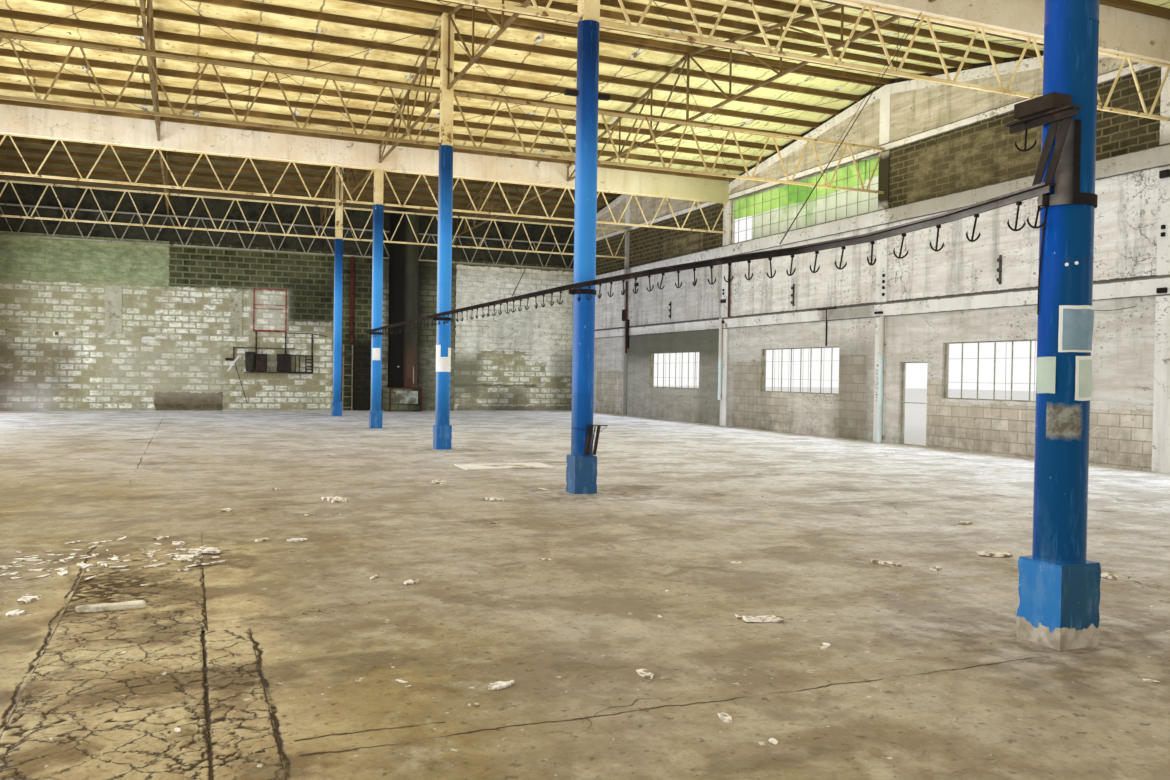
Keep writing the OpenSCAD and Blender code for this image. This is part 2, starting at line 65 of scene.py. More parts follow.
view = {"place": (-2.5655, -9.5661, 0.9236), "lens": 29.51, "turn": -0.3928, "tilt": math.pi / 2 - 0.0151,
        "roll": 0.0154}
bpy.ops.object.camera_add(location=view["place"])
camera = bpy.context.object
aim = Euler((0, 0, view["turn"])).to_matrix() @ Euler((view["tilt"], 0, 0)).to_matrix()
camera.rotation_euler = (aim @ Euler((0, 0, view["roll"])).to_matrix()).to_euler()
camera.data.lens = view["lens"]
camera.data.sensor_width = 36
camera.data.clip_start = 0.02
camera.data.clip_end = 400
bpy.context.scene.camera = camera
bpy.context.scene.view_settings.view_transform = "Standard"
print("camera set")


# Small tools

def linear(code):  # sRGB hex to linear colour
    parts = [int(code[i:i + 2], 16) / 255 for i in (0, 2, 4)]
    return tuple(p / 12.92 if p <= 0.04045 else ((p + 0.055) / 1.055) ** 2.4 for p in parts) + (1,)


def addNode(tree, kind, sources=None, **settings):
    # adds one shader node, sets it and links it, text is a colour
    node = tree.nodes.new("ShaderNode" + kind)
    for name, value in settings.items():
        setattr(node, name, value)
    for socket, source in (sources or {}).items():
        if isinstance(source, bpy.types.Node):
            source = next(out for out in source.outputs if out.enabled)
        if isinstance(source, bpy.types.NodeSocket):
            tree.links.new(source, node.inputs[socket])
        else:
            node.inputs[socket].default_value = linear(source) if isinstance(source, str) else source
    return node


def startFinish(name, roughness=0.8, metallic=0.0):
    # a material, its tree, its shader and the place on the object
    material = bpy.data.materials.new(name)
    material.use_nodes = True
    tree = material.node_tree
    shader = tree.nodes["Principled BSDF"]
    shader.inputs["Roughness"].default_value = roughness
    shader.inputs["Metallic"].default_value = metallic
    place = addNode(tree, "TexCoord").outputs["Object"]
    return material, tree, shader, place


def cloud(tree, place, scale, low, high, stretch=(1, 1, 1), detail=4, most=1.0):
    # soft patches: 0 where the noise is under low, most where it is over high
    laid = addNode(tree, "Mapping", {"Vector": place, "Scale": stretch})
    patches = addNode(tree, "TexNoise", {"Vector": laid, "Scale": scale, "Detail": detail, "Roughness": 0.64})
    return addNode(tree, "MapRange", {"Value": patches, "From Min": low, "From Max": high, "To Max": most})


def fadeAlong(tree, place, axis, start, end, most=1.0):  # along one axis: 0 up to start, most from end on
    parts = addNode(tree, "SeparateXYZ", {0: place})
    return addNode(tree, "MapRange", {"Value": parts.outputs[axis], "From Min": start, "From Max": end,
                                      "To Max": most})


def layered(tree, base, coats):
    # lays coats and stains over a base: (where, tone), a tone is a hex code or a node
    # where a coat names more than one place, it lies where they overlap
    for where, *others, tone in coats:
        for other in others:
            where = addNode(tree, "Math", {0: where, 1: other}, operation="MULTIPLY")
        base = addNode(tree, "Mix", {0: where, 6: base, 7: tone}, data_type="RGBA")
    return base


def polished(tree, shader, mask, gloss, dull):  # roughness: gloss where the mask is 0, dull where it is 1
    rough = addNode(tree, "MapRange", {"Value": mask, "To Min": gloss, "To Max": dull})
    tree.links.new(rough.outputs[0], shader.inputs["Roughness"])


def surface(tree, shader, tone, height, strength, depth):  # colour and relief into the shader
    tree.links.new(tone.outputs[2], shader.inputs["Base Color"])
    bump = addNode(tree, "Bump", {"Height": height, "Strength": strength, "Distance": depth})
    tree.links.new(bump.outputs[0], shader.inputs["Normal"])


def zone(tree, wall, low, high, soft=0.01):  # 1 inside a box between two corners of (across, up)
    middle = [(a + b) / 2 for a, b in zip(low, high)]
    half = [(b - a) / 2 for a, b in zip(low, high)]
    moved = addNode(tree, "VectorMath", {0: wall, 1: (*middle, 0)}, operation="SUBTRACT")
    spread = addNode(tree, "VectorMath", {0: moved}, operation="ABSOLUTE")
    over = addNode(tree, "VectorMath", {0: spread, 1: (*half, 1)}, operation="SUBTRACT")
    parts = addNode(tree, "SeparateXYZ", {0: over})
    far = addNode(tree, "Math", {0: parts.outputs[0], 1: parts.outputs[1]}, operation="MAXIMUM")
    return addNode(tree, "MapRange", {"Value": far, "From Min": soft, "From Max": 0.0})


def zones(tree, wall, boxes, soft=0.01):  # 1 inside any of the boxes
    mask = zone(tree, wall, *boxes[0], soft)
    for box in boxes[1:]:
        mask = addNode(tree, "Math", {0: mask, 1: zone(tree, wall, *box, soft)}, operation="MAXIMUM")
    return mask


def flatPlace(tree, place, across, up, ragged, scale=9.0):
    # (across, up, 0), and the same shaken for ragged edges
    parts = addNode(tree, "SeparateXYZ", {0: place})
    flat = addNode(tree, "CombineXYZ", {0: parts.outputs[across], 1: parts.outputs[up]})
    grain = addNode(tree, "TexNoise", {"Vector": place, "Scale": scale, "Detail": 4.0, "Roughness": 0.65})
    centred = addNode(tree, "VectorMath", {0: grain.outputs["Color"], 1: (0.5, 0.5, 0.5)},
                      operation="SUBTRACT")
    shaken = addNode(tree, "VectorMath", {0: centred, 1: (ragged, ragged, 0), 2: flat},
                     operation="MULTIPLY_ADD")
    return flat, shaken


def crazes(tree, place, scale, width, low, high):
    # crack lines round irregular fields, kept only in some places
    grain = addNode(tree, "TexNoise", {"Vector": place, "Scale": 3 * scale, "Detail": 4.0, "Roughness": 0.65})
    bent = addNode(tree, "VectorMath", {0: grain.outputs["Color"], 1: (0.5 / scale,) * 3, 2: place},
                   operation="MULTIPLY_ADD")
    fields = addNode(tree, "TexVoronoi", {"Vector": bent, "Scale": scale}, feature="DISTANCE_TO_EDGE")
    line = addNode(tree, "MapRange", {"Value": fields, "From Min": width * scale, "From Max": 0.0})
    kept = cloud(tree, place, scale, low, high)
    return addNode(tree, "Math", {0: line, 1: kept}, operation="MULTIPLY")


def grained(tree, place, scale, minus, share):  # fine grain, cut in by share where the mask is 1
    grain = addNode(tree, "TexNoise", {"Vector": place, "Scale": scale, "Detail": 4.0, "Roughness": 0.6})
    return addNode(tree, "Math", {0: minus, 1: -share, 2: grain.outputs[0]}, operation="MULTIPLY_ADD")


def activate(piece):
    for other in bpy.context.selected_objects:
        other.select_set(False)
    piece.select_set(True)
    bpy.context.view_layer.objects.active = piece


def setDown(piece):  # bakes place, turn and size into the mesh
    activate(piece)
    bpy.ops.object.transform_apply(location=True, rotation=True, scale=True)
    return piece


def editAll(piece):  # edit mode with everything selected
    activate(piece)
    bpy.ops.object.mode_set(mode="EDIT")
    bpy.ops.mesh.select_all(action="SELECT")


def endEdit():
    bpy.ops.object.mode_set(mode="OBJECT")
    return bpy.context.object


def addBlock(low, high, edge=0.0):  # block between two corners, its edges rounded off
    middle = [(a + b) / 2 for a, b in zip(low, high)]
    bpy.ops.mesh.primitive_cube_add(size=1, location=middle)
    piece = bpy.context.object
    piece.scale = [b - a for a, b in zip(low, high)]
    setDown(piece)
    if edge:
        editAll(piece)
        bpy.ops.mesh.bevel(offset=edge, segments=1, affect="EDGES")
        endEdit()
    return piece


def addRod(start, end, radius, sides=8):  # round bar from one point to another
    start = Vector(start)
    run = Vector(end) - start
    bpy.ops.mesh.primitive_cylinder_add(vertices=sides, radius=radius, depth=run.length,
                                        location=start + run / 2,
                                        rotation=run.to_track_quat("Z", "Y").to_euler())
    return setDown(bpy.context.object)


def addWire(points, radius, sides=6):  # thin wire through some points
    return [addRod(a, b, radius, sides) for a, b in zip(points, points[1:])]


def sagging(start, end, drop, steps=8):  # points of a wire hanging between two points
    start = Vector(start)
    end = Vector(end)
    return [start.lerp(end, k / steps) - Vector((0, 0, 4 * drop * k / steps * (1 - k / steps)))
            for k in range(steps + 1)]


def stackRings(place, rings, sides=32, turn=0.0):  # turned shape: (height, radius) pairs from the bottom up
    bpy.ops.mesh.primitive_circle_add(vertices=sides, radius=rings[0][1], fill_type="NGON",
                                      location=(place[0], place[1], place[2] + rings[0][0]),
                                      rotation=(0, 0, turn))
    piece = setDown(bpy.context.object)
    editAll(piece)
    for (low, wide), (high, narrow) in zip(rings, rings[1:]):
        bpy.ops.mesh.extrude_region_move(TRANSFORM_OT_translate={"value": (0, 0, high - low)})
        if narrow != wide:
            bpy.ops.transform.resize(value=(narrow / wide, narrow / wide, 1))
    bpy.ops.mesh.select_all(action="SELECT")
    bpy.ops.mesh.normals_make_consistent(inside=False)
    return endEdit()


def repeatAt(model, moves):  # copies of a piece, each with its own mesh, at each move
    copies = []
    for move in moves:
        copy = model.copy()
        copy.data = model.data.copy()
        copy.data.transform(move)
        bpy.context.collection.objects.link(copy)
        copies.append(copy)
    bpy.data.objects.remove(model)
    return copies


def joinPieces(parts, name, finish, smooth=None, instead=()):  # makes one riding piece of its parts
    activate(parts[0])
    for part in parts[1:]:
        part.select_set(True)
    if len(parts) > 1:
        bpy.ops.object.join()
    piece = bpy.context.view_layer.objects.active
    piece.name = name
    piece.data.name = name
    piece.data.materials.clear()
    piece.data.materials.append(finish)
    if smooth:
        bpy.ops.object.shade_smooth_by_angle(angle=math.radians(smooth))
    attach(piece, "root")
    if instead:
        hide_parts(*instead)
    return piece


def dress(finish, *names):  # gives CAD nodes their finish
    for name in names:
        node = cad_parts[name]
        node.data.materials.clear()
        node.data.materials.append(finish)


def keepFaces(piece, test):  # deletes the faces whose middle fails a test
    activate(piece)
    for face in piece.data.polygons:
        face.select = not test(face.center)
    bpy.ops.object.mode_set(mode="EDIT")
    bpy.ops.mesh.select_mode(type="FACE")
    bpy.ops.mesh.delete(type="FACE")
    return endEdit()


# Finishes

def trowelledConcrete():
    # power-trowelled slab, worn and dusty: brown in front, and painted daylight: paler where daylight falls
    # in
    finish, tree, shader, place = startFinish("trowelled_concrete", 0.75)
    flat, shaken = flatPlace(tree, place, 0, 1, 0.07, 5.0)
    toRight = addNode(tree, "VectorMath", {0: place, 1: (0.17, 0.075, 0)},
                      operation="DOT_PRODUCT").outputs["Value"]
    toLeft = addNode(tree, "VectorMath", {0: place, 1: (-0.31, 0.1, 0)},
                     operation="DOT_PRODUCT").outputs["Value"]
    rightLit = addNode(tree, "MapRange", {"Value": toRight, "From Min": -1.0, "From Max": 0.4})
    leftLit = addNode(tree, "MapRange", {"Value": toLeft, "From Min": 0.95, "From Max": 2.0, "To Max": 0.62})
    lit = addNode(tree, "Math", {0: rightLit, 1: leftLit}, operation="MAXIMUM")
    wide = cloud(tree, place, 0.8, 0.3, 0.7, (1, 0.6, 1), 6, 0.36)
    uneven = addNode(tree, "Math", {0: wide, 1: -0.18}, operation="ADD")
    # painted daylight: the slab is paler towards the right windows and the left openings at the back, and the
    # worn, rubbed and sandy tones each get a paler daylit copy
    daylitPool = addNode(tree, "Math", {0: lit, 1: uneven}, operation="ADD", use_clamp=True)
    joints = zones(tree, shaken, [((-2.34, lineY[1] - 0.117), (0.2, lineY[1] - 0.115)),
                                  ((1.2, -4.3), (3.8, -4.295)), ((-5.9, -1.337), (5.9, -1.334)),
                                  ((-5.9, 4.66), (5.9, 4.664)), ((2.9, -6), (2.904, 11)),
                                  ((-2.95, -2), (-2.946, 11)), ((-2.34, -7.36), (-2.0, -7.357))], 0.005)
    broken = cloud(tree, place, 3.1, 0.42, 0.56, detail=5)
    faint = addNode(tree, "Math", {0: joints, 1: broken}, operation="MULTIPLY")
    trench = zones(tree, shaken, [((-2.957, -11), (-2.953, -4.5)), ((-2.508, -6.3), (-2.505, -5.1)),
                                  ((-2.378, -11), (-2.37, -6.35)), ((-2.516, -7.5), (-2.514, -6.3)),
                                  ((-2.5, -6.36), (-2.37, -6.355))], 0.005)
    gone = cloud(tree, place, 7, 0.38, 0.5, detail=5)
    trench = addNode(tree, "Math", {0: trench, 1: gone}, operation="MULTIPLY")
    seams = addNode(tree, "Math", {0: faint, 1: trench}, operation="MAXIMUM")
    cracks = addNode(tree, "Math", {0: crazes(tree, place, 0.55, 0.005, 0.5, 0.58), 1: seams},
                     operation="MAXIMUM")
    inFill = zone(tree, shaken, (-2.95, -11), (-2.37, -4.9), 0.25)
    fill = layered(tree, "b0986a", [(cloud(tree, place, 6, 0.4, 0.62, detail=6), "d4c18e"),
                                    (cloud(tree, place, 3.4, 0.49, 0.58, detail=7, most=0.8), "644b2a")])
    inStrip = zones(tree, flat, [((-2.945, -11.2), (-2.375, -6.35)), ((-2.945, -6.35), (-2.5, -4.8))], 0.0001)
    sunk = fadeAlong(tree, place, 2, floorTop + 0.0034, floorTop + 0.0014)
    nearer = fadeAlong(tree, place, 1, -5.2, -6.2)
    meshed = addNode(tree, "Math", {0: crazes(tree, place, 9.5, 0.0042, 0.36, 0.48), 1: nearer},
                     operation="MULTIPLY")
    netted = addNode(tree, "Math", {0: meshed, 1: inStrip}, operation="MULTIPLY")
    cracks = addNode(tree, "Math", {0: cracks, 1: netted}, operation="MAXIMUM")
    worn = cloud(tree, place, 2.3, 0.46, 0.58, detail=7, most=0.66)
    rubbed = cloud(tree, place, 11, 0.46, 0.6, (1, 0.85, 1), 8, 0.5)
    feet = zones(tree, shaken, [((-0.3, y - 0.3), (0.45, y + 0.2)) for y in lineY[1:6]], 0.3)
    tone = layered(tree, "9d8854", [
        (daylitPool, "ece9e5"),
        (worn, layered(tree, "715b33", [(daylitPool, "a49b8c")])),
        (rubbed, layered(tree, "7a6337", [(daylitPool, "b2a897")])),
        (cloud(tree, place, 6, 0.54, 0.66, (1, 0.8, 1), 7, 0.45), "cdbf9b"),
        (cloud(tree, place, 1.2, 0.52, 0.6, (0.8, 5, 1), 6, 0.35), "8c7850"),  # drag marks across the hall
        (inFill, 0.75, fill),
        (sunk, inStrip, "44321b"),
        (zone(tree, shaken, (-3.5, -5.35), (-2.4, -4.65), 0.3), rubbed, "6b583b"),
        (feet, rubbed, "554630"),
        (cloud(tree, place, 1.7, 0.6, 0.64, (1, 1.4, 1), 7, 0.55), "6e6044"),  # damp and oil
        (cloud(tree, place, 75, 0.5, 0.62, detail=4, most=0.3),  # sand grains, as coarse as they need to show
         layered(tree, "6a5633", [(daylitPool, "b8af9f")])),
        (cloud(tree, place, 30, 0.59, 0.66, detail=5, most=0.7), "55472f"),
        (cloud(tree, place, 24, 0.69, 0.72, detail=3, most=0.7), "ded6c4"),
        (cracks, "3f2f19")])
    surface(tree, shader, tone, grained(tree, place, 40.0, cracks, 2.0), 0.7, 0.005)
    polished(tree, shader, worn, 0.5, 0.85)
    return finish


def laidBlocks(name, look):  # laid courses, part limewashed or rendered: joints follow the real block size
    finish, tree, shader, place = startFinish(name, 0.9)
    shaken = flatPlace(tree, place, look["across"], 2, look.get("ragged", 0.12))[1]
    nearly = flatPlace(tree, place, look["across"], 2, look.get("wavy", 0.014), 13.0)[1]
    length, height = look["block"]
    bricks = addNode(tree, "TexBrick", {"Vector": nearly, "Color1": (0, 0, 0, 1), "Color2": (1, 1, 1, 1),
                                        "Mortar": (0.5, 0.5, 0.5, 1), "Scale": 1.0,
                                        "Mortar Size": look["joint"], "Mortar Smooth": 0.3,
                                        "Brick Width": length, "Row Height": height})
    joints = bricks.outputs["Fac"]
    each = addNode(tree, "SeparateColor", {0: bricks.outputs["Color"]}).outputs[0]  # one grey per block
    worn = cloud(tree, place, 5, 0.36, 0.66, detail=6)
    coats = [(each, look["faces"][1]), (worn, look.get("smeared", 0.45), look["mortar"]),
             (joints, look["mortar"])]
    if "wash" in look:
        wash = look["wash"]
        soft = addNode(tree, "Math", {0: cloud(tree, place, 3.2, 0.4, 0.66, detail=5), 1: 0.38},
                       operation="MULTIPLY")
        uneven = addNode(tree, "Math", {0: each, 1: 0.72, 2: soft}, operation="MULTIPLY_ADD")
        missing = addNode(tree, "MapRange", {"Value": uneven, "From Min": wash["keep"],
                                             "From Max": wash["keep"] + 0.3})
        inJoint = addNode(tree, "Math", {0: joints, 1: wash["joints"]}, operation="MULTIPLY")
        lost = addNode(tree, "Math", {0: missing, 1: inJoint}, operation="MAXIMUM")
        left = addNode(tree, "Math", {0: 1.0, 1: lost}, operation="SUBTRACT", use_clamp=True)
        washed = zones(tree, shaken, wash["boxes"], 0.05)
        scuffed = cloud(tree, place, 13, 0.3, 0.56, (1, 1, 2), 5, 0.9)
        coats.append((washed, wash["cover"], wash["tone"][0]))
        coats.append((washed, left, scuffed, wash["tone"][1]))
    smooth = 0.0
    thin = cloud(tree, place, 1.7, 0.4, 0.62, detail=4, most=look.get("through", 0.5))
    through = addNode(tree, "Math", {0: joints, 1: thin}, operation="MULTIPLY")  # courses show in the coat
    mould = addNode(tree, "Math", {0: cloud(tree, place, 19, 0.56, 0.64, (1, 1, 1.9), 5, 0.75),
                                   1: cloud(tree, place, 1.1, 0.5, 0.62, detail=3)}, operation="MULTIPLY")
    for boxes, light, dark in look.get("coats", []):
        mask = zones(tree, shaken, boxes)
        streaks = cloud(tree, place, 5, 0.4, 0.64, (1, 0.35, 2.2), 6)
        coats.append((mask, layered(tree, dark, [(streaks, light), (through, look["mortar"]),
                                                 (mould, look["grime"])])))
        smooth = addNode(tree, "Math", {0: smooth, 1: mask}, operation="MAXIMUM")
    foot = fadeAlong(tree, place, 2, floorTop + 0.5, floorTop, look.get("foot", 0.6))
    coats.append((cloud(tree, place, 5, 0.5, 0.75, (1.3, 1.3, 0.16), 5, look.get("runs", 0.4)),
                  look["grime"]))
    coats.append((foot, worn, look["grime"]))
    coats.append((cloud(tree, place, 9, 0.64, 0.68, (1, 1, 1.5), 5, 0.8), look["mortar"]))
    # soot, and in places painted shade, laid as soft dark patches
    for box, share, soot_and_shade in look.get("soot_and_shade", []):
        soft = zone(tree, shaken, *box, 0.3)
        coats.append((soft, share, soot_and_shade))
    if "lines" in look:
        coats.append((zones(tree, nearly, look["lines"], 0.008), 0.9, "352e20"))
    height = grained(tree, place, 55.0, addNode(tree, "Math", {0: joints, 1: smooth}, operation="SUBTRACT",
                                                use_clamp=True), 1.5)
    if "mouldy" in look:  # damp corners: cracks running out like roots, blackened, and courses bulging
        sides = addNode(tree, "Mapping", {"Vector": place, "Scale": (1, 0.6, 1)})
        roots = crazes(tree, sides, 3.2, 0.0045, 0.36, 0.5)
        damp = zones(tree, shaken, look["mouldy"], 0.22)
        spread = addNode(tree, "Math", {0: cloud(tree, place, 12, 0.58, 0.62, (1, 1.6, 0.8), 6, 0.55),
                                        1: roots}, operation="MAXIMUM")
        coats.append((spread, damp, "3f3727"))
        long = crazes(tree, addNode(tree, "Mapping", {"Vector": place, "Scale": (1, 0.4, 1.3)}), 1.2, 0.0045,
                      0.47, 0.55)
        coats.append((long, 0.7, "5a4f3c"))
        rolling = cloud(tree, place, 2.4, 0.3, 0.7, (1, 0.3, 3.4), 3)
        height = addNode(tree, "Math", {0: rolling, 1: 1.6, 2: height}, operation="MULTIPLY_ADD")
    # outer faces and the front wall, not in the photo: weathered render over the same courses
    if "plain" in look:
        front = fadeAlong(tree, place, 1, 0.1, 0.0)
        behind = fadeAlong(tree, place, 1, backFace + 0.05, backFace + 0.06)
        unseen = addNode(tree, "Math", {0: front, 1: behind}, operation="MAXIMUM")
        coats.append((unseen, layered(tree, look["plain"][0],
                                      [(cloud(tree, place, 3, 0.4, 0.64, (1, 1, 0.3), 6), look["plain"][1]),
                                       (through, look["mortar"]), (mould, look["grime"]),
                                       (foot, look["grime"])])))
    tone = layered(tree, look["faces"][0], coats)
    raised = addNode(tree, "Math", {0: smooth, 1: 1.4, 2: height}, operation="MULTIPLY_ADD")
    surface(tree, shader, tone, raised, 0.7, 0.006)
    return finish


def floatedPlaster(name, look):
    # floated render, limewashed: chalky, stained in runs, flaked to grey, cracked
    finish, tree, shader, place = startFinish(name, 0.88)
    shaken = flatPlace(tree, place, 1, 2, 0.12)[1]
    flakes = cloud(tree, place, 5.5, *look.get("flakes", (0.62, 0.66)), (1, 1, 1.6), 6)
    cracks = crazes(tree, place, 1.5, 0.006, 0.48, 0.6)
    coats = [(cloud(tree, place, 1.6, 0.34, 0.66, detail=5), look["tone"][1]),
             (cloud(tree, place, 6, 0.5, 0.78, (1.2, 1.2, 0.13), 5, look.get("runs", 0.35)), look["grime"]),
             (flakes, look["under"]), (cracks, look.get("cracked", 0.8), "4f4638")]
    for box, share, tone in look.get("patches", []):
        soft = zone(tree, shaken, *box, 0.15)
        coats.append((soft, share, tone))
    coats.append((cloud(tree, place, 19, 0.56, 0.64, (1, 1, 1.9), 5, 0.8),
                  cloud(tree, place, 1.3, 0.48, 0.6, detail=3, most=look.get("mould", 1)), "4a4231"))
    # painted reflected light: green towards the right wall in the back half of the hall; in the front half
    # the beams are darker
    if "end" in look:
        toWall = fadeAlong(tree, place, 0, 2.4, 5.6, 0.8)
        beyond = fadeAlong(tree, place, 1, 0.0, 1.0)
        coats.append((toWall, beyond, look["end"]))
        overhead = addNode(tree, "MapRange", {"Value": beyond, "From Min": 1.0, "From Max": 0.0,
                                              "To Max": 0.3})
        coats.append((overhead, "8f8768"))
    if "lines" in look:
        nearly = flatPlace(tree, place, 1, 2, 0.02)[1]
        coats.append((zones(tree, nearly, look["lines"], 0.006), 0.85, "3a3426"))
    cut = addNode(tree, "Math", {0: cracks, 1: flakes}, operation="MAXIMUM")
    surface(tree, shader, layered(tree, look["tone"][0], coats), grained(tree, place, 22.0, cut, 0.6), 0.6,
            0.008)
    return finish


def brushedEnamel():
    # gloss enamel brushed on, chipped: wet shine, upright brush marks, painted shade in dull teal on the side
    # turned from the light
    finish, tree, shader, place = startFinish("brushed_enamel", 0.3)
    shader.inputs["Specular IOR Level"].default_value = 0.18
    parts = addNode(tree, "SeparateXYZ", {0: place})
    marks = cloud(tree, place, 9, 0.35, 0.68, (1.6, 1.6, 0.22), 6)
    # how far each face turns from the light on the left and towards the camera, for painted shade
    facing = addNode(tree, "SeparateXYZ", {0: addNode(tree, "NewGeometry").outputs["Normal"]})
    turnedFromLight = addNode(tree, "Math", {0: facing.outputs[1], 1: -0.75}, operation="MULTIPLY")
    turned = addNode(tree, "Math", {0: facing.outputs[0], 1: 0.55, 2: turnedFromLight}, operation="MULTIPLY_ADD")
    uneven = addNode(tree, "Math", {0: cloud(tree, place, 5, 0.3, 0.7, (1, 1, 0.3), 5), 1: 0.3, 2: turned},
                     operation="MULTIPLY_ADD")
    lowDown = fadeAlong(tree, place, 2, 1.3, 0.75, 0.75)
    shadeAndDullness = addNode(tree, "Math", {0: uneven, 1: lowDown}, operation="ADD")
    inFront = fadeAlong(tree, place, 1, -5.0, -6.5)
    # painted shade in dull teal on the front column, with some random dullness and more of it low down
    shaded = addNode(tree, "MapRange", {"Value": shadeAndDullness, "From Min": -0.15, "From Max": 0.32,
                                        "To Max": 0.94})
    # painted daylight: the columns further back are paler, as more light falls on them
    daylitFar = fadeAlong(tree, place, 1, -5.6, 1.0, 0.72)
    chips = cloud(tree, place, 34, 0.7, 0.715, (1, 1, 0.5), 4)
    scars = addNode(tree, "Math", {0: chips, 1: cloud(tree, place, 7, 0.69, 0.7, (1, 1, 0.4), 6)},
                    operation="MAXIMUM")
    foot = fadeAlong(tree, place, 2, floorTop + 0.5, floorTop + 0.15, 0.3)
    scuffs = addNode(tree, "Math", {0: foot, 1: cloud(tree, place, 16, 0.5, 0.7, (1, 1, 0.4), 6)},
                     operation="MULTIPLY")
    block = fadeAlong(tree, place, 2, floorTop + 0.275, floorTop + 0.25, 0.7)
    inShade = addNode(tree, "MapRange", {"Value": turned, "From Min": 0.1, "From Max": 0.6})
    # painted highlight: a pale rim on the faces turned to the light on the left, on the columns further back
    rim = addNode(tree, "MapRange", {"Value": facing.outputs[0], "From Min": -0.72, "From Max": -0.97})
    # columns 2 to 5: darker navy on top, a pale band of painted daylight at mid height, darker below
    beyond = fadeAlong(tree, place, 1, -6.5, -5.0)
    belowDarkTop = fadeAlong(tree, place, 2, 2.75, 2.2, 0.6)
    aboveWaist = fadeAlong(tree, place, 2, 1.4, 1.7)
    upHigh = fadeAlong(tree, place, 2, 2.4, 3.15, 0.85)
    downLow = fadeAlong(tree, place, 2, 0.95, 0.45, 0.6)
    second = fadeAlong(tree, place, 1, -1.0, -3.0)  # the plinths of columns 1 and 2
    edge = addNode(tree, "TexNoise", {"Vector": place, "Scale": 22.0, "Detail": 5.0})
    ragged = addNode(tree, "Math", {0: edge.outputs[0], 1: -0.09, 2: parts.outputs[2]},
                     operation="MULTIPLY_ADD")
    low = addNode(tree, "MapRange", {"Value": ragged, "From Min": floorTop + 0.016,
                                     "From Max": floorTop + 0.012})
    # worn to the concrete in the front bay
    bare = addNode(tree, "Math", {0: low, 1: inFront}, operation="MULTIPLY")
    peeled = zone(tree, flatPlace(tree, place, 0, 2, 0.05, 14.0)[1], (-0.2, 0.765), (-0.02, 0.845), 0.02)
    under = layered(tree, "9a9a86", [(cloud(tree, place, 24, 0.45, 0.6, detail=6), "6b6250")])
    concrete = layered(tree, "9a8c70", [(cloud(tree, place, 18, 0.35, 0.65, detail=5), "cabda3")])
    tone = layered(tree, "003c86", [(marks, "0050a2"), (daylitFar, "3a94da"),
                                    (belowDarkTop, aboveWaist, beyond, "4aa3e6"), (rim, daylitFar, "b4bfbc"),
                                    (upHigh, beyond, "001c48"), (downLow, beyond, "03365a"),
                                    (shaded, inFront, "03466c"),
                                    (block, layered(tree, "2e69a2",
                                                    [(second, "3a5c78"), (inFront, "3a84be"),
                                                     (inShade, inFront, "2a5264")])),
                                    (cloud(tree, place, 36, 0.58, 0.7, (1, 1, 0.12), 5, 0.25), "5f9ccb"),
                                    (scars, "a9b5b0"), (scuffs, "7fa3b2"),
                                    (peeled, addNode(tree, "Math", {0: facing.outputs[1], 1: -0.1},
                                                     operation="LESS_THAN"), inFront, under),
                                    (bare, concrete)])
    dull = addNode(tree, "Math", {0: bare, 1: scars}, operation="MAXIMUM")
    rough = addNode(tree, "MapRange", {"Value": dull, "To Min": 0.24, "To Max": 0.85})
    dusty = addNode(tree, "Math", {0: scuffs, 1: 0.3, 2: rough}, operation="MULTIPLY_ADD")
    tree.links.new(dusty.outputs[0], shader.inputs["Roughness"])
    height = addNode(tree, "Math", {0: dull, 1: -0.6, 2: marks}, operation="MULTIPLY_ADD")
    surface(tree, shader, tone, height, 0.35, 0.002)
    return finish


def paintedSteel(name, tones, rust, cover=(0.58, 0.66), browned=False):
    # oil paint on mild steel: satin, rust bleeding at flaws
    finish, tree, shader, place = startFinish(name, 0.5)
    bleed = cloud(tree, place, 9, *cover, detail=5)
    coats = [(cloud(tree, place, 3, 0.35, 0.65, detail=4), tones[1]),
             (cloud(tree, place, 1.3, 0.4, 0.7, detail=4, most=0.35), rust)]
    if browned:  # browner over the paint in the middle of the hall, paler to the right
        midHallBrown = fadeAlong(tree, place, 1, 3.4, 2.6, 0.85)
        toRight = fadeAlong(tree, place, 0, -1.0, 3.5)
        coats.append((midHallBrown, layered(tree, "6a542a", [(cloud(tree, place, 4, 0.4, 0.62), "8a7342"),
                                                      (toRight, "b59d6c")])))
    coats.append((bleed, rust))
    tone = layered(tree, tones[0], coats)
    polished(tree, shader, bleed, 0.42, 0.9)
    surface(tree, shader, tone, grained(tree, place, 90.0, bleed, 0.3), 0.3, 0.002)
    return finish


def sawnTimber(name, tones, grainAxis):  # sawn boards: grain lines along the piece, dusty brown
    finish, tree, shader, place = startFinish(name, 0.75)
    stretch = [30, 30, 30]
    stretch[grainAxis] = 0.9
    grain = cloud(tree, place, 1.0, 0.3, 0.7, stretch, 4)
    tone = layered(tree, tones[0], [(grain, tones[1]), (cloud(tree, place, 2.2, 0.5, 0.72, detail=4),
                                                        tones[2])])
    surface(tree, shader, tone, grain, 0.5, 0.002)
    return finish


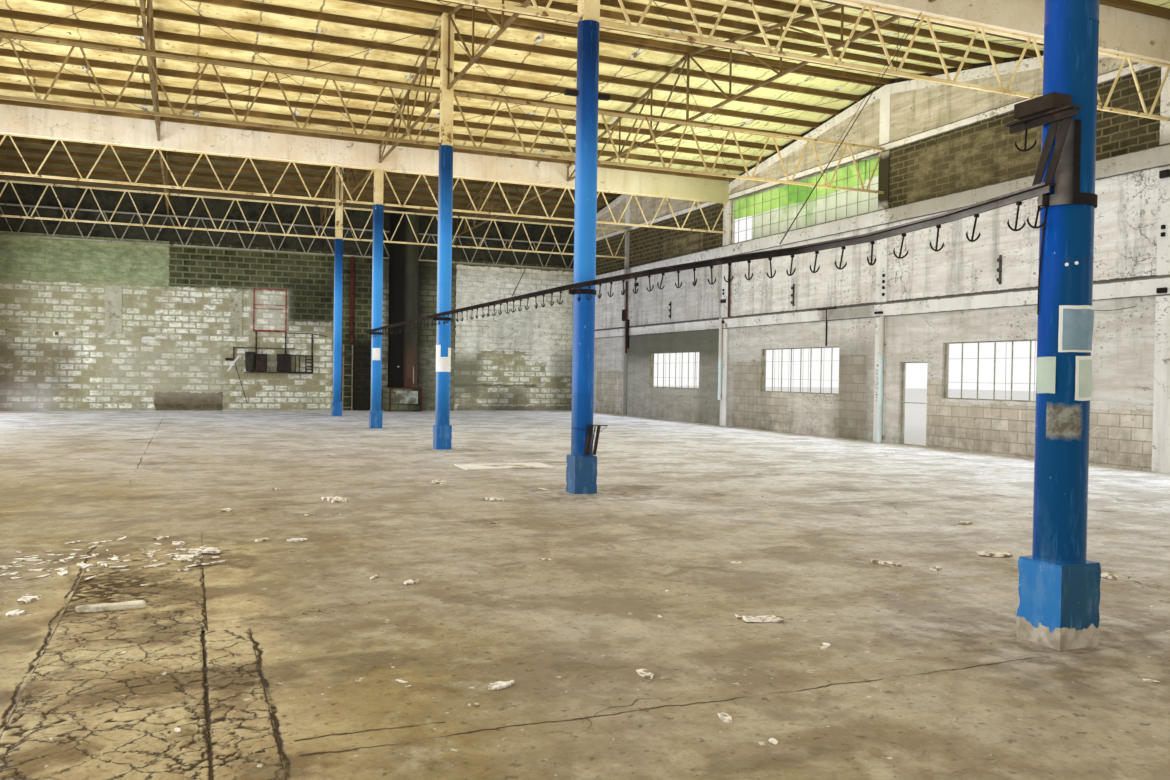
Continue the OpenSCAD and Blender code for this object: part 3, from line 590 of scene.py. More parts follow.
def yellowedFoil():
    # woven insulation foil, yellowed: crinkled, satin, torn at its laps; painted shade, with dust, browns it
    # at the back, and painted green light tints it towards the right wall
    finish, tree, shader, place = startFinish("yellowed_foil", 0.6)
    parts = addNode(tree, "SeparateXYZ", {0: place})
    stains = cloud(tree, place, 3.0, 0.48, 0.66, detail=7, most=0.55)
    crumpled = cloud(tree, place, 2.2, 0.34, 0.58, (1, 2.6, 1), 7)
    grain = addNode(tree, "TexNoise", {"Vector": place, "Scale": 7.0, "Detail": 5.0})
    shifted = addNode(tree, "Math", {0: grain.outputs[0], 1: 0.09, 2: parts.outputs[0]},
                      operation="MULTIPLY_ADD")
    lap = addNode(tree, "Math", {0: shifted, 1: 0.305}, operation="PINGPONG")  # strips 1.22 m wide on site
    nearLap = addNode(tree, "MapRange", {"Value": lap, "From Min": 0.06, "From Max": 0.04})
    atLap = addNode(tree, "MapRange", {"Value": lap, "From Min": 0.014, "From Max": 0.008})
    silver = layered(tree, "d6d4c4", [(cloud(tree, place, 15, 0.48, 0.54, (1.6, 0.5, 1), 5), "57492c")])
    # painted shade: brown towards the back, where less light reaches
    reach = fadeAlong(tree, place, 1, 3.5, 6.0, 0.92)
    # painted reflected light: green towards the right wall, from the green outside
    paintedGreenLight = fadeAlong(tree, place, 0, 1.2, 4.6, 0.75)
    tone = layered(tree, "bfa258", [(crumpled, "ecdc9c"), (stains, "97763b"),
                                    (cloud(tree, place, 12, 0.66, 0.69, detail=3), "6b5228"),
                                    (paintedGreenLight, "d4da9c"), (paintedGreenLight,
                                                        cloud(tree, place, 8, 0.56, 0.62, (2.6, 0.35, 1), 5,
                                                              0.8), "6d5c2a"), (atLap,
                                                                                cloud(tree, place, 1.9, 0.3,
                                                                                      0.55, detail=5,
                                                                                      most=0.8), "5b4722"),
                                    (nearLap, cloud(tree, place, 1.5, 0.56, 0.6, detail=5, most=0.9), silver),
                                    (reach, "3b3016")])
    surface(tree, shader, tone, grained(tree, place, 9.0, stains, 0.3), 0.6, 0.02)
    return finish


def weathered(name, tones, roughness, metallic, spots, scale=12, runs=(1, 1, 1)):
    # left outdoors: mottled, dull
    finish, tree, shader, place = startFinish(name, roughness, metallic)
    tone = layered(tree, tones[0], [(cloud(tree, place, scale, 0.35, 0.68, runs, 5), tones[1]),
                                    (cloud(tree, place, 0.4 * scale, *spots, runs, 5), tones[2])])
    surface(tree, shader, tone, grained(tree, place, 110.0, 0.0, 0.0), 0.4, 0.002)
    return finish


def sootedFlue():  # rolled sheet steel, sooted, olive where wiped, rusty towards the fire; painted shade in black on the left side, turned from the light
    finish, tree, shader, place = startFinish("sooted_sheet_steel", 0.7)
    rusty = fadeAlong(tree, place, 2, 1.7, 0.8)
    facing = addNode(tree, "SeparateXYZ", {0: addNode(tree, "NewGeometry").outputs["Normal"]})
    # painted shade: black on the faces turned from the light, which comes from the right here
    turnedFromLight = addNode(tree, "MapRange", {"Value": facing.outputs[0], "From Min": 0.15, "From Max": -0.2})
    tone = layered(tree, "2b2a1a", [(cloud(tree, place, 6, 0.35, 0.68, (1, 1, 0.3), 5), "3d3c28"),
                                    (rusty, "5e3c28"), (turnedFromLight, "090806")])
    surface(tree, shader, tone, grained(tree, place, 60.0, 0.0, 0.0), 0.4, 0.003)
    return finish


damp = [((-3.32, 1.95), (-2.95, 2.9)), ((0.25, 1.95), (0.62, 2.6)), ((8.2, 2.0), (8.6, 2.7)),
        ((-7.1, 1.95), (-6.9, 2.6)), ((4.3, 2.2), (4.56, 2.9))]
blockLook = {"across": 1, "block": (0.25, 0.125), "joint": 0.006, "faces": ("bfb39e", "d8cebb"),
             "mortar": "a79c86",
             "grime": "5a523e", "runs": 0.3, "ragged": 0.16, "smeared": 0.6, "through": 0.3,
             "mouldy": damp[:1],
             "coats": [([((-11.5, 0.8), (lineY[2], 1.8)), ((-3.35, 0.67), (-0.46, 1.8)),
                         ((-0.5, 0.95), (0.7, 1.8)),
                         ((0.28, 0.1), (0.93, 1.8)), ((0.9, 1.26), (1.64, 1.8)), ((1.5, 1.36), (3.6, 1.8)),
                         ((3.5, 1.2), (4.4, 1.8)), ((4.36, 0.1), (8.8, 1.8)), ((8.6, 1.04), (10.3, 1.8)),
                         ((10.2, 0.1), (11.4, 1.8)), ((-11.5, 0.1), (-9.8, 1.8))], "dad4c9", "c1baac")]
             + [([((1.62, 0.1), (2.76, 0.72)), ((5.2, 0.1), (7.0, 0.62))], "ddd5c8", "c3b9a8")],
             "soot_and_shade": [(((4.76, 0.2), (8.6, 1.9)), 0.5, "77735a"), (((4.76, 1.4), (8.6, 1.9)), 0.7, "3c3d26"),
                      (((4.76, 0.1), (5.4, 1.2)), 0.35, "4d4a35"),
                      (((0.93, 0.1), (1.5, 1.25)), 0.55, "6a6552"),
                      (((3.3, 0.1), (4.56, 1.1)), 0.35, "5d5848")]}
upperLook = {"across": 1, "block": (0.2, 0.083), "joint": 0.011, "faces": ("252112", "433b24"),
             "mortar": "6f6545",
             "grime": "262216", "runs": 0.55, "ragged": 0.1, "wavy": 0.03, "smeared": 0.3, "mouldy": damp,
             "through": 0.16,
             "lines": [((-12, 1.938), (12, 1.958))],
             "wash": {"boxes": [((-2.2, 3.2), (0.2, 3.8)), ((5.5, 3.2), (7, 3.5))], "keep": 0.3,
                      "cover": 0.45,
                      "joints": 0.6, "tone": ("665c3f", "857a59")},
             "coats": [([((-12, 1.9), (12, 3.1))], "eee8de", "d8d0c3"),
                       ([((-12, 4.0), (12, 5))], "d3c8b1", "b0a58b")],
             "soot_and_shade": [(((4.76, 1.95), (8.6, 3.0)), 0.25, "6d6952")]}
endLook = {"across": 0, "block": (0.255, 0.125), "joint": 0.018, "faces": ("26270f", "53512f"),
           "mortar": "77754f",
           "wash": {"boxes": [((-5.9, 0.1), (-0.66, 2.55)), ((-0.66, 0.1), (0.25, 1.94)),
                              ((2.95, 0.72), (5.0, 1.42)),
                              ((1.28, 0.6), (1.5, 3.3)), ((2.95, 0.1), (5.9, 0.62)),
                              ((4.9, 0.6), (5.9, 1.35))],
                    "keep": 0.4, "cover": 0.78, "joints": 0.9, "tone": ("b5aa80", "fffae0")},
           "grime": "5c543a", "runs": 0.3, "ragged": 0.12, "foot": 0.3, "plain": ("a8a08c", "c9c1ae"),
           "coats": [([((-6, 2.56), (-2.93, 3.6))], "aeb283", "858d60"),
                     ([((-3.17, 0.1), (-1.91, 0.46))], "77654b", "57482f"),
                     ([((3.0, 0.1), (5.9, 0.2))], "a9a187", "8b836a"),
                     ([((-3.4, 1.43), (-3.17, 1.56))], "f4eeda", "e6dfc8"),
                     # -4.93 to -4.86, 1.55 to 1.63: a hole in the wall, painted near-black as its shade
                     ([((-4.93, 1.55), (-4.86, 1.63))], "3a3322", "221c10"),
                     ([((2.95, 1.45), (5.9, 3.34)), ((2.95, 1.2), (3.45, 1.5)), ((4.7, 1.22), (5.9, 1.5)),
                       ((5.1, 0.9), (5.9, 1.3))], "f8f2da", "dcd4b8")],
           "soot_and_shade": [(((3.0, 0.55), (3.4, 1.2)), 0.75, "77755a"),
                    (((-5.9, 1.75), (-3.3, 2.5)), 0.35, "a39b6d"),
                    (((-4.0, 0.5), (-2.1, 1.3)), 0.5, "bdb496"), (((-5.9, 0.1), (-5.1, 0.5)), 0.5, "d6cecb"),
                    # 3.9 to 4.4 at the foot: a dark heap of rubble and its shadow, painted on
                    (((3.9, 0.12), (4.4, 0.4)), 0.55, "3b382a"), (((0.7, 0.1), (1.15, 1.5)), 0.9, "1c1a12"),
                    (((0.3, 2.6), (1.4, 4)), 0.45, "1c1a12"), (((1.5, 0.1), (2.2, 3.4)), 0.7, "1c1a12"),
                    # -5.9 to -4.7, 0.6 to 1.25: painted shade under the blocks at the lower left
                    (((5.45, 0.2), (5.9, 1.3)), 0.5, "3a3828"), (((-5.9, 0.6), (-4.7, 1.25)), 0.42, "4a3420"),
                    (((-1.2, 1.9), (-0.8, 2.4)), 0.35, "ece4cf"),
                    (((-0.5, 1.95), (0.2, 2.7)), 0.5, "14140a"), (((4.0, 1.5), (4.7, 2.2)), 0.2, "4a4632")]}
pierLook = {"across": 0, "block": (0.255, 0.125), "joint": 0.016, "faces": ("6b684a", "8b886a"),
            "mortar": "5b583c", "grime": "3a3724", "runs": 0.4,
            "coats": [([((2.05, 0.1), (3, 1.5))], "9a977c", "77745a")],
            "soot_and_shade": [(((1.9, 0.1), (2.1, 3.4)), 0.8, "1c1a12"), (((1.9, 3.0), (3, 3.5)), 0.5, "1c1a12")]}
frameLook = {"tone": ("dad4c9", "eae5db"), "grime": "8b806c", "under": "9a907d", "runs": 0.4,
             "lines": [((-12, 1.924), (12, 1.95)), ((-12, 1.757), (12, 1.768)), ((-12, 2.97), (12, 2.984)),
                       ((-12, 3.168), (12, 3.18)), ((-12, 4.022), (12, 4.035)), ((-12, 3.93), (12, 3.945))],
             # 8.5 to 8.7 along, full height: painted shade down the post's corner beside the conduit
             "patches": [(((8.5, 0.1), (8.7, 4)), 0.7, "4a452f"), (((4.8, 0.1), (8.5, 1.75)), 0.35, "6d654e"),
                         (((-7.3, 3.02), (0.5, 3.2)), 0.6, "8f8569"),
                         (((0.48, 3.3), (0.82, 3.84)), 1.0, "3a3520"),
                         (((0.9, 1.8), (1.9, 1.9)), 0.6, "5d543f")]}
# the end tone is painted green reflected light near the right wall
beamLook = {"tone": ("ecd9b6", "fbf1dc"), "grime": "a8986c", "under": "9a8c70", "runs": 0.45,
            "flakes": (0.65, 0.7), "mould": 0.35, "cracked": 0.5, "end": "b9b47c"}


stripLook = {"tone": ("a79e7f", "c9c2a3"), "grime": "655d3f", "under": "868060", "runs": 0.4,
             "flakes": (0.56, 0.64)}


def brokenPlaster():  # lime plaster in broken chips: chalky cream tops, brown where they lay in the dirt
    finish, tree, shader, place = startFinish("fallen_plaster", 0.88)
    each = addNode(tree, "TexNoise", {"Vector": place, "Scale": 34.0, "Detail": 1.0})
    brown = addNode(tree, "MapRange", {"Value": each.outputs[0], "From Min": 0.5, "From Max": 0.6})
    tone = layered(tree, "f0e7d0", [(brown, "8c7851"), (cloud(tree, place, 60, 0.5, 0.66, detail=4),
                                                        "a8987a")])
    surface(tree, shader, tone, grained(tree, place, 120.0, 0.0, 0.0), 0.4, 0.002)
    return finish


def limewashedPipe():  # moulded drain pipe: pale grey plastic, limewashed with the wall in its upper part
    finish, tree, shader, place = startFinish("limewashed_drain_pipe", 0.45)
    washed = fadeAlong(tree, place, 2, 1.22, 1.28)
    tone = layered(tree, "d3e4e2", [(cloud(tree, place, 5, 0.5, 0.7, (1, 1, 0.3), 4), "b9c4be"),
                                    (washed, "cfc8bb"), (cloud(tree, place, 9, 0.62, 0.68, (1, 1, 0.5), 4),
                                                         "8f8874")])
    polished(tree, shader, washed, 0.35, 0.85)
    surface(tree, shader, tone, grained(tree, place, 60.0, 0.0, 0.0), 0.2, 0.001)
    return finish


def railSteel():  # rolled section, old grey paint on the web, rust-black flanges: dull, scaly
    finish, tree, shader, place = startFinish("rusted_rolled_steel", 0.8)
    shader.inputs["Specular IOR Level"].default_value = 0.25
    sides = addNode(tree, "SeparateXYZ", {0: addNode(tree, "NewGeometry").outputs["Normal"]})
    web = addNode(tree, "MapRange", {"Value": sides.outputs[0], "From Min": -0.6, "From Max": -0.9})
    nearby = fadeAlong(tree, place, 1, -6.0, -6.8)
    grey = layered(tree, "6f675c", [(cloud(tree, place, 8, 0.4, 0.6, (1, 0.4, 1), 5), "938a7c")])
    tone = layered(tree, "17120f", [(cloud(tree, place, 12, 0.35, 0.68, detail=5), "2b2420"),
                                    (web, nearby, grey),
                                    (cloud(tree, place, 5, 0.56, 0.68, detail=5), "54382b")])
    surface(tree, shader, tone, grained(tree, place, 110.0, 0.0, 0.0), 0.4, 0.002)
    return finish


floorFinish = trowelledConcrete()
blockFinish = laidBlocks("rendered_concrete_blocks", blockLook)
upperFinish = laidBlocks("sooty_upper_blocks", upperLook)
endFinish = laidBlocks("limewashed_brickwork", endLook)
pierFinish = laidBlocks("sooty_brickwork", pierLook)
frameFinish = floatedPlaster("limewashed_concrete_frame", frameLook)
stripFinish = floatedPlaster("plastered_wall_strip", stripLook)
beamFinish = floatedPlaster("painted_concrete_beam", beamLook)
enamelFinish = brushedEnamel()
creamFinish = paintedSteel("cream_oil_paint_on_steel", ("d5bd80", "efe0ae"), "7a5630")
girderFinish = paintedSteel("browned_oil_paint_on_steel", ("d5bd80", "efe0ae"), "6a4a28", browned=True)
# the trusses are a dark brown, darker than the cream girders
trussFinish = paintedSteel("dark_brown_paint_on_steel", ("55411f", "80693b"), "3a2812")
greyFinish = paintedSteel("grey_oil_paint_on_steel", ("8d8a7c", "aaa695"), "5a4a34")
redFinish = paintedSteel("red_oxide_primer", ("a8382a", "c04a38"), "4f2a20", (0.5, 0.62))
timberFinish = sawnTimber("sawn_hardwood_purlin", ("4a3513", "6c5222", "876a38"), 0)
armFinish = sawnTimber("old_dark_timber", ("130e0a", "291d14", "3d2f22"), 0)
foilFinish = yellowedFoil()
sheetFinish = weathered("weathered_galvanised_sheet", ("8b8e8b", "a9aca8", "7d6048"), 0.5, 0.6, (0.56, 0.7),
                        3, (1.6, 0.35, 1))
darkSheetFinish = weathered("dark_ribbed_sheet", ("302f24", "45432f", "1f1e16"), 0.7, 0.2, (0.5, 0.65))
railFinish = railSteel()
stayFinish = weathered("rust_black_stay_steel", ("1e1915", "3a3128", "57402d"), 0.7, 0.0, (0.52, 0.66))
hookFinish = weathered("blackened_hook_steel", ("161311", "2a2420", "4a3226"), 0.6, 0.4, (0.55, 0.7))
flueFinish = sootedFlue()
pipeFinish = limewashedPipe()
spoolFinish = weathered("glazed_porcelain", ("3a332d", "5a4f45", "221e1a"), 0.25, 0.0, (0.5, 0.62))
oldPipeFinish = weathered("rusty_iron_pipe", ("4e2318", "6b3424", "2c1712"), 0.8, 0.2, (0.5, 0.65))
ladderFinish = weathered("rusty_ladder_steel", ("8a7a62", "a8987c", "4b382a"), 0.7, 0.2, (0.5, 0.65))
shelfFinish = weathered("blackened_shelf_steel", ("201a17", "3a302a", "5a3a2c"), 0.6, 0.3, (0.5, 0.65))
barFinish = weathered("weathered_window_bar", ("8b8a70", "b5b498", "6a4a30"), 0.6, 0.2, (0.5, 0.7))
greenCloth = weathered("green_woven_tarpaulin", ("a9d96e", "cdee93", "7cb850"), 0.55, 0.0, (0.5, 0.65), 3)
paleCloth = weathered("white_woven_tarpaulin", ("dde8cf", "f2f6e8", "b4cf9c"), 0.55, 0.0, (0.5, 0.65), 3)
paperFinish = weathered("sun_bleached_paper", ("b4c2aa", "cad2b8", "dfdec8"), 0.7, 0.0, (0.5, 0.7), 8)
marginFinish = weathered("paper_margin", ("e6e3cc", "f0eedb", "cfd0b4"), 0.7, 0.0, (0.5, 0.7), 8)
filmFinish = weathered("clear_plastic_film", ("6f8a90", "93a5a6", "c3cec8"), 0.25, 0.0, (0.5, 0.7), 8)
bandFinish = weathered("white_painted_band", ("e6e2d4", "f3f0e6", "b9b09a"), 0.6, 0.0, (0.58, 0.68), 8)
flakeFinish = brokenPlaster()
mortarFinish = weathered("patched_mortar", ("8e937f", "b3b6a1", "5f5a45"), 0.9, 0.0, (0.46, 0.6), 14)
wireFinish = weathered("old_black_wire", ("1a1613", "2c241e", "4a3626"), 0.6, 0.2, (0.5, 0.65))
barPlasterFinish = weathered("fallen_plaster_strip", ("d3c8a4", "eae0c0", "94876a"), 0.85, 0.0, (0.5, 0.62),
                             30)
boardFinish = weathered("fallen_white_board", ("ddd6c4", "efeadb", "9c8f74"), 0.8, 0.0, (0.55, 0.68), 6)

dress(floorFinish, "floor_slab")
dress(enamelFinish, "column_1", "column_2", "column_3", "column_4", "column_5")
dress(creamFinish, "column_heads", "valley_girders")
dress(girderFinish, "ridge_girders")
dress(trussFinish, "roof_truss_left", "roof_truss_row", "roof_truss_right")
dress(greyFinish, "end_girders")
dress(frameFinish, "right_posts", "left_posts", "right_beams", "left_beams")
dress(blockFinish, "right_piers", "left_piers", "right_spandrels", "left_spandrels")
dress(upperFinish, "right_upper_walls", "left_upper_walls")
dress(endFinish, "back_wall", "front_wall", "end_lintels")
dress(stripFinish, "back_strips")
dress(darkSheetFinish, "end_claddings")
dress(pierFinish, "back_pier", "flue_base_block")
dress(beamFinish, "valley_beams")
dress(timberFinish, "rising_purlins", "falling_purlins")
dress(foilFinish, "roof_lining")
dress(sheetFinish, "rising_roof", "falling_roof", "ridge_caps", "valley_gutters")
dress(railFinish, "hook_rail", "rail_clamps")
dress(stayFinish, "rail_stays")
dress(hookFinish, "rail_hooks")
dress(armFinish, "column_arms")
dress(pipeFinish, "downpipes")
dress(oldPipeFinish, "old_pipes")
dress(spoolFinish, "insulator_racks")
dress(flueFinish, "flue")
dress(ladderFinish, "ladder")
dress(redFinish, "wall_rack")
dress(greenCloth, "tarpaulin")
print("finishes made")


# Studio: pale floor and sky outside, soft panels inside the hall

studio = {"sky": "ffffff", "skyLight": 0.9, "groundSide": 160, "cool": "d9e6ff",
          "hallDown": 470, "hallUp": 520, "left": 680, "right": 300, "front": 80, "tarp": 34, "key": 4200}


def softPanel(name, place, turn, size, power, tone="ffffff"):  # area lamp that camera and gloss don't see
    bpy.ops.object.light_add(type="AREA", location=place, rotation=turn)
    lamp = bpy.context.object
    lamp.name = name
    lamp.data.shape = "RECTANGLE"
    lamp.data.size, lamp.data.size_y = size
    lamp.data.energy = power
    lamp.data.color = linear(tone)[:3]
    lamp.visible_camera = False
    lamp.visible_glossy = False
    return lamp


world = bpy.data.worlds.new("studio_sky")
bpy.context.scene.world = world
world.use_nodes = True
skyTree = world.node_tree
rays = addNode(skyTree, "LightPath")
seen = addNode(skyTree, "Math", {0: rays.outputs["Is Camera Ray"], 1: rays.outputs["Is Glossy Ray"]},
               operation="MAXIMUM")
seenThrough = addNode(skyTree, "Math", {0: seen, 1: rays.outputs["Is Transmission Ray"]}, operation="MAXIMUM")
level = addNode(skyTree, "MapRange", {"Value": seenThrough, "To Min": studio["skyLight"], "To Max": 1.0})
sky = skyTree.nodes["Background"]
sky.inputs["Color"].default_value = linear(studio["sky"])
skyTree.links.new(level.outputs[0], sky.inputs["Strength"])

groundFinish, groundTree, groundShader, groundPlace = startFinish("studio_paper", 0.9)
groundTone = layered(groundTree, "e4e2dd", [(cloud(groundTree, groundPlace, 0.1, 0.3, 0.7), "e8e6e1")])
groundTree.links.new(groundTone.outputs[2], groundShader.inputs["Base Color"])
bpy.ops.mesh.primitive_plane_add(size=studio["groundSide"], location=(0, 0, -0.002))
ground = bpy.context.object
ground.name = "studio_ground"
ground.data.materials.append(groundFinish)

hallWidth = 2 * sideFace - 0.4
hallLength = backFace - frontFace - 0.4
softPanel("hall_down", (0, 0, floorTop + 3.12), (0, 0, 0), (hallWidth, hallLength), studio["hallDown"],
          studio["cool"])
softPanel("hall_up", (0, 0, floorTop + 3.1), (math.pi, 0, 0), (hallWidth, hallLength), studio["hallUp"],
          "fff6e4")
softPanel("left_openings", (-sideFace + 0.15, 0.6, 1.5), (0, -math.pi / 2, 0), (2.4, 19), studio["left"],
          studio["cool"])
softPanel("right_windows", (sideFace - 0.15, 0.6, 1.2), (0, math.pi / 2, 0), (1.6, 19), studio["right"],
          studio["cool"])
softPanel("tarpaulin_glow", (4.4, 1.8, 3.3), (0, math.pi, 0), (1.6, 5), studio["tarp"], "fbffe2")
softPanel("front_doorways", (0, frontFace + 0.15, 1.4), (math.pi / 2, 0, 0), (10, 2.2), studio["front"],
          studio["cool"])
softPanel("outdoor_key", (-16, -20, 22), (math.radians(42), 0, math.radians(-38)), (16, 16), studio["key"])
print("studio lit")


# Columns: welded steel tube on a chipped square plinth

column = {"radius": columnRadius, "plinth": 0.262, "bevel": 0.018, "lip": 0.0012, "bead": 0.004,
          "seams": {1: (1.317, 2.05, 2.7), 2: (0.8, 1.6, 2.4), 3: (0.95, 1.9, 2.6), 4: (1.2, 2.2),
                    5: (1.4, 2.3)}, "chip": 0.006}


def addPlinth(y):  # square block, its edges knocked about
    half = plinthSide / 2
    corner = math.sqrt(2)
    low = column["plinth"] - column["bevel"]
    rings = [(0, half * corner), (low * 0.5, half * corner), (low, half * corner),
             (column["plinth"], (half + column["radius"]) / 2 * corner)]
    block = stackRings((0, y, floorTop), rings, 4, math.pi / 4)
    editAll(block)
    bpy.ops.mesh.subdivide(number_cuts=7)
    block = endEdit()
    for vertex in block.data.vertices:
        spot = vertex.co - Vector((0, y, floorTop))
        edge = min(abs(spot.x), abs(spot.y)) / half
        upright = max(0.0, edge - 0.72) / 0.28
        rim = max(0.0, 1 - abs(spot.z - low) / 0.03) * 0.5
        foot = max(0.0, 1 - spot.z / 0.05) * 0.6
        rough = max(0.0, noise.noise(vertex.co * 26) + 0.3 * noise.noise(vertex.co * 9) + 0.1)
        knock = rough * max(upright, rim, foot)
        vertex.co.x -= math.copysign(column["chip"] * knock, spot.x)
        vertex.co.y -= math.copysign(column["chip"] * knock, spot.y)
    return block


def addShaft(i):  # tube with weld beads round it
    rings = [(0.05, column["radius"])]
    for z in column["seams"][i]:
        low = z - floorTop
        rings += [(low - column["bead"], column["radius"]), (low, column["radius"] + column["lip"]),
                  (low + column["bead"], column["radius"])]
    rings.append((columnTop - floorTop, column["radius"]))
    return stackRings((0, lineY[i], floorTop), rings, 48)


for i in range(1, 6):
    joinPieces([addShaft(i), addPlinth(lineY[i])], f"dressed_column_{i}", enamelFinish, 32,
               (f"column_{i}",))
print("columns made")


# What is wrapped round the columns: notices, a clear sleeve, bands, and a dark sheet standing in for shade

def addWrap(i, low, high, start, end, proud, thick, rumple=0.0):
    # thin sheet round column i between two angles
    radius = column["radius"] + proud
    bpy.ops.mesh.primitive_cylinder_add(vertices=90, radius=radius, depth=high - low, end_fill_type="NOTHING",
                                        location=(0, lineY[i], (low + high) / 2))
    sheet = setDown(bpy.context.object)
    middle = math.radians((start + end) / 2)
    reach = math.radians(abs(end - start) / 2)
    axis = Vector((math.cos(middle), math.sin(middle), 0))
    keepFaces(sheet, lambda spot: Vector((spot.x, spot.y - lineY[i], 0)).angle(axis) < reach)
    if rumple:
        editAll(sheet)
        bpy.ops.mesh.subdivide(number_cuts=3)
        endEdit()
        for vertex in sheet.data.vertices:
            out = Vector((vertex.co.x, vertex.co.y - lineY[i], 0)).normalized()
            vertex.co += out * rumple * (noise.noise(vertex.co * 17) + 0.5)
            vertex.co.z += rumple * noise.noise(vertex.co * 23)
    activate(sheet)
    solid = sheet.modifiers.new("thickness", "SOLIDIFY")
    solid.thickness = thick
    solid.offset = 1
    bpy.ops.object.modifier_apply(modifier="thickness")
    return sheet


wraps = {"notice_margins": (marginFinish, [(1, 0.878, 1.017, 150, 212, 0.001, 0.0006, 0.003),
                                           (1, 0.871, 1.008, -112, -58, 0.001, 0.0006, 0.003),
                                           (1, 1.02, 1.163, -148, -61, 0.002, 0.0006, 0.003)]),
         "column_notices": (paperFinish, [(1, 0.89, 1.005, 156, 206, 0.003, 0.0006, 0.003),
                                          (1, 0.882, 0.996, -107, -63, 0.003, 0.0006, 0.003)]),
         "column_sleeve": (filmFinish, [(1, 1.027, 1.152, -143, -66, 0.004, 0.0006, 0.004)]),
         "column_marks": (bandFinish, [(3, 0.94, 1.1, -180, 180, 0.001, 0.0008, 0.002),
                                       (3, 1.09, 1.23, 175, 235, 0.001, 0.0008, 0.003),
                                       (3, 1.09, 1.2, -65, -10, 0.001, 0.0008, 0.003),
                                       (4, 1.1, 1.28, -150, -60, 0.001, 0.0008, 0.002)])}
for name, (finish, places) in wraps.items():
    joinPieces([addWrap(*place) for place in places], name, finish, 40)
# painted shade: a dark sheet round column 1 between the rails, where shade lies
joinPieces([addWrap(1, 1.488, 1.735, -165, -112, 0.001, 0.002)], "column_shade_sheet", railFinish, 40)
print("wraps made")


# Anchor hooks under the rail

hook = {"arc": 0.0345, "rod": 0.0035, "tip": 0.012, "lean": 6, "turn": 9}


def addHook():  # shank with a round eye, and two upturned arms, hung from the origin
    high, low = 0.0, -0.095
    bpy.ops.mesh.primitive_torus_add(major_radius=hook["arc"], minor_radius=hook["rod"], major_segments=26,
                                     minor_segments=6, rotation=(0, math.pi / 2, 0),
                                     location=(0, 0, low + hook["arc"] + hook["rod"]))
    arms = setDown(bpy.context.object)
    cut = low + 0.6 * hook["arc"] + hook["rod"]
    keepFaces(arms, lambda spot: spot.z < cut)
    activate(arms)
    bpy.ops.object.mode_set(mode="EDIT")
    bpy.ops.mesh.select_mode(type="EDGE")
    bpy.ops.mesh.select_all(action="DESELECT")
    bpy.ops.mesh.select_non_manifold()
    bpy.ops.mesh.extrude_edges_move(TRANSFORM_OT_translate={"value": (0, 0, hook["tip"])})
    bpy.ops.mesh.edge_collapse()
    endEdit()
    shank = addRod((0, 0, low + hook["rod"]), (0, 0, high), hook["rod"], 6)
    eye = addBlock((-0.006, -0.008, high - 0.012), (0.006, 0.008, high + 0.0), 0.002)
    activate(arms)
    shank.select_set(True)
    eye.select_set(True)
    bpy.ops.object.join()
    return bpy.context.object


def hookPlaces():  # top of each CAD hook, front to back
    spots = {}
    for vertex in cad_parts["rail_hooks"].data.vertices:
        key = round(vertex.co.y / 0.089)
        spots.setdefault(key, []).append(vertex.co)
    tops = []
    for corners in spots.values():
        top = max(corner.z for corner in corners)
        shank = [corner for corner in corners if corner.z > top - 0.001]
        tops.append((sum(c.x for c in shank) / len(shank), sum(c.y for c in shank) / len(shank), top))
    highest = sorted(tops, key=lambda spot: spot[1])
    kept = [highest[0]]
    for spot in highest[1:]:
        if spot[1] - kept[-1][1] > 0.09:
            kept.append(spot)
        elif spot[2] > kept[-1][2]:
            kept[-1] = spot
    return kept


moves = []
for k, (x, y, z) in enumerate(hookPlaces()):
    lean = math.radians(11 if k < 6 else random.gauss(0, hook["lean"]))
    swing = Euler((lean, random.gauss(0, 0.05), math.radians(random.gauss(0, hook["turn"]))))
    swing = swing.to_matrix().to_4x4()
    moves.append(Matrix.Translation((x, y, z)) @ swing)
moves.append(Matrix.Translation((-0.107, -7.27, 1.753)) @ Euler((0.05, 0, 0.3)).to_matrix().to_4x4())
moves.append(Matrix.Translation((-0.107, -7.33, 1.5)) @ Euler((0.2, 0, 0.1)).to_matrix().to_4x4())
hooks = repeatAt(addHook(), moves)
joinPieces(hooks, "anchor_hooks", hookFinish, 50, ("rail_hooks",))
print(f"{len(hooks)} hooks hung")


# Windows, doors and the open panel over the sill

grille = {"width": 2.0, "low": 0.71, "high": 1.39, "shift": 0.125, "pitch": 0.25, "bar": 0.007,
          "thin": 0.0025, "rim": 0.014, "sill": 0.02}


def addFrame(x, a, b, low, high, rim, deep=0.012):  # four rails round an opening
    return [addBlock((x - deep, a, high - rim), (x + deep, b, high), 0.002),
            addBlock((x - deep, a, low), (x + deep, b, low + rim), 0.002),
            addBlock((x - deep, a, low + rim), (x + deep, a + rim, high - rim), 0.002),
            addBlock((x - deep, b - rim, low + rim), (x + deep, b, high - rim), 0.002)]


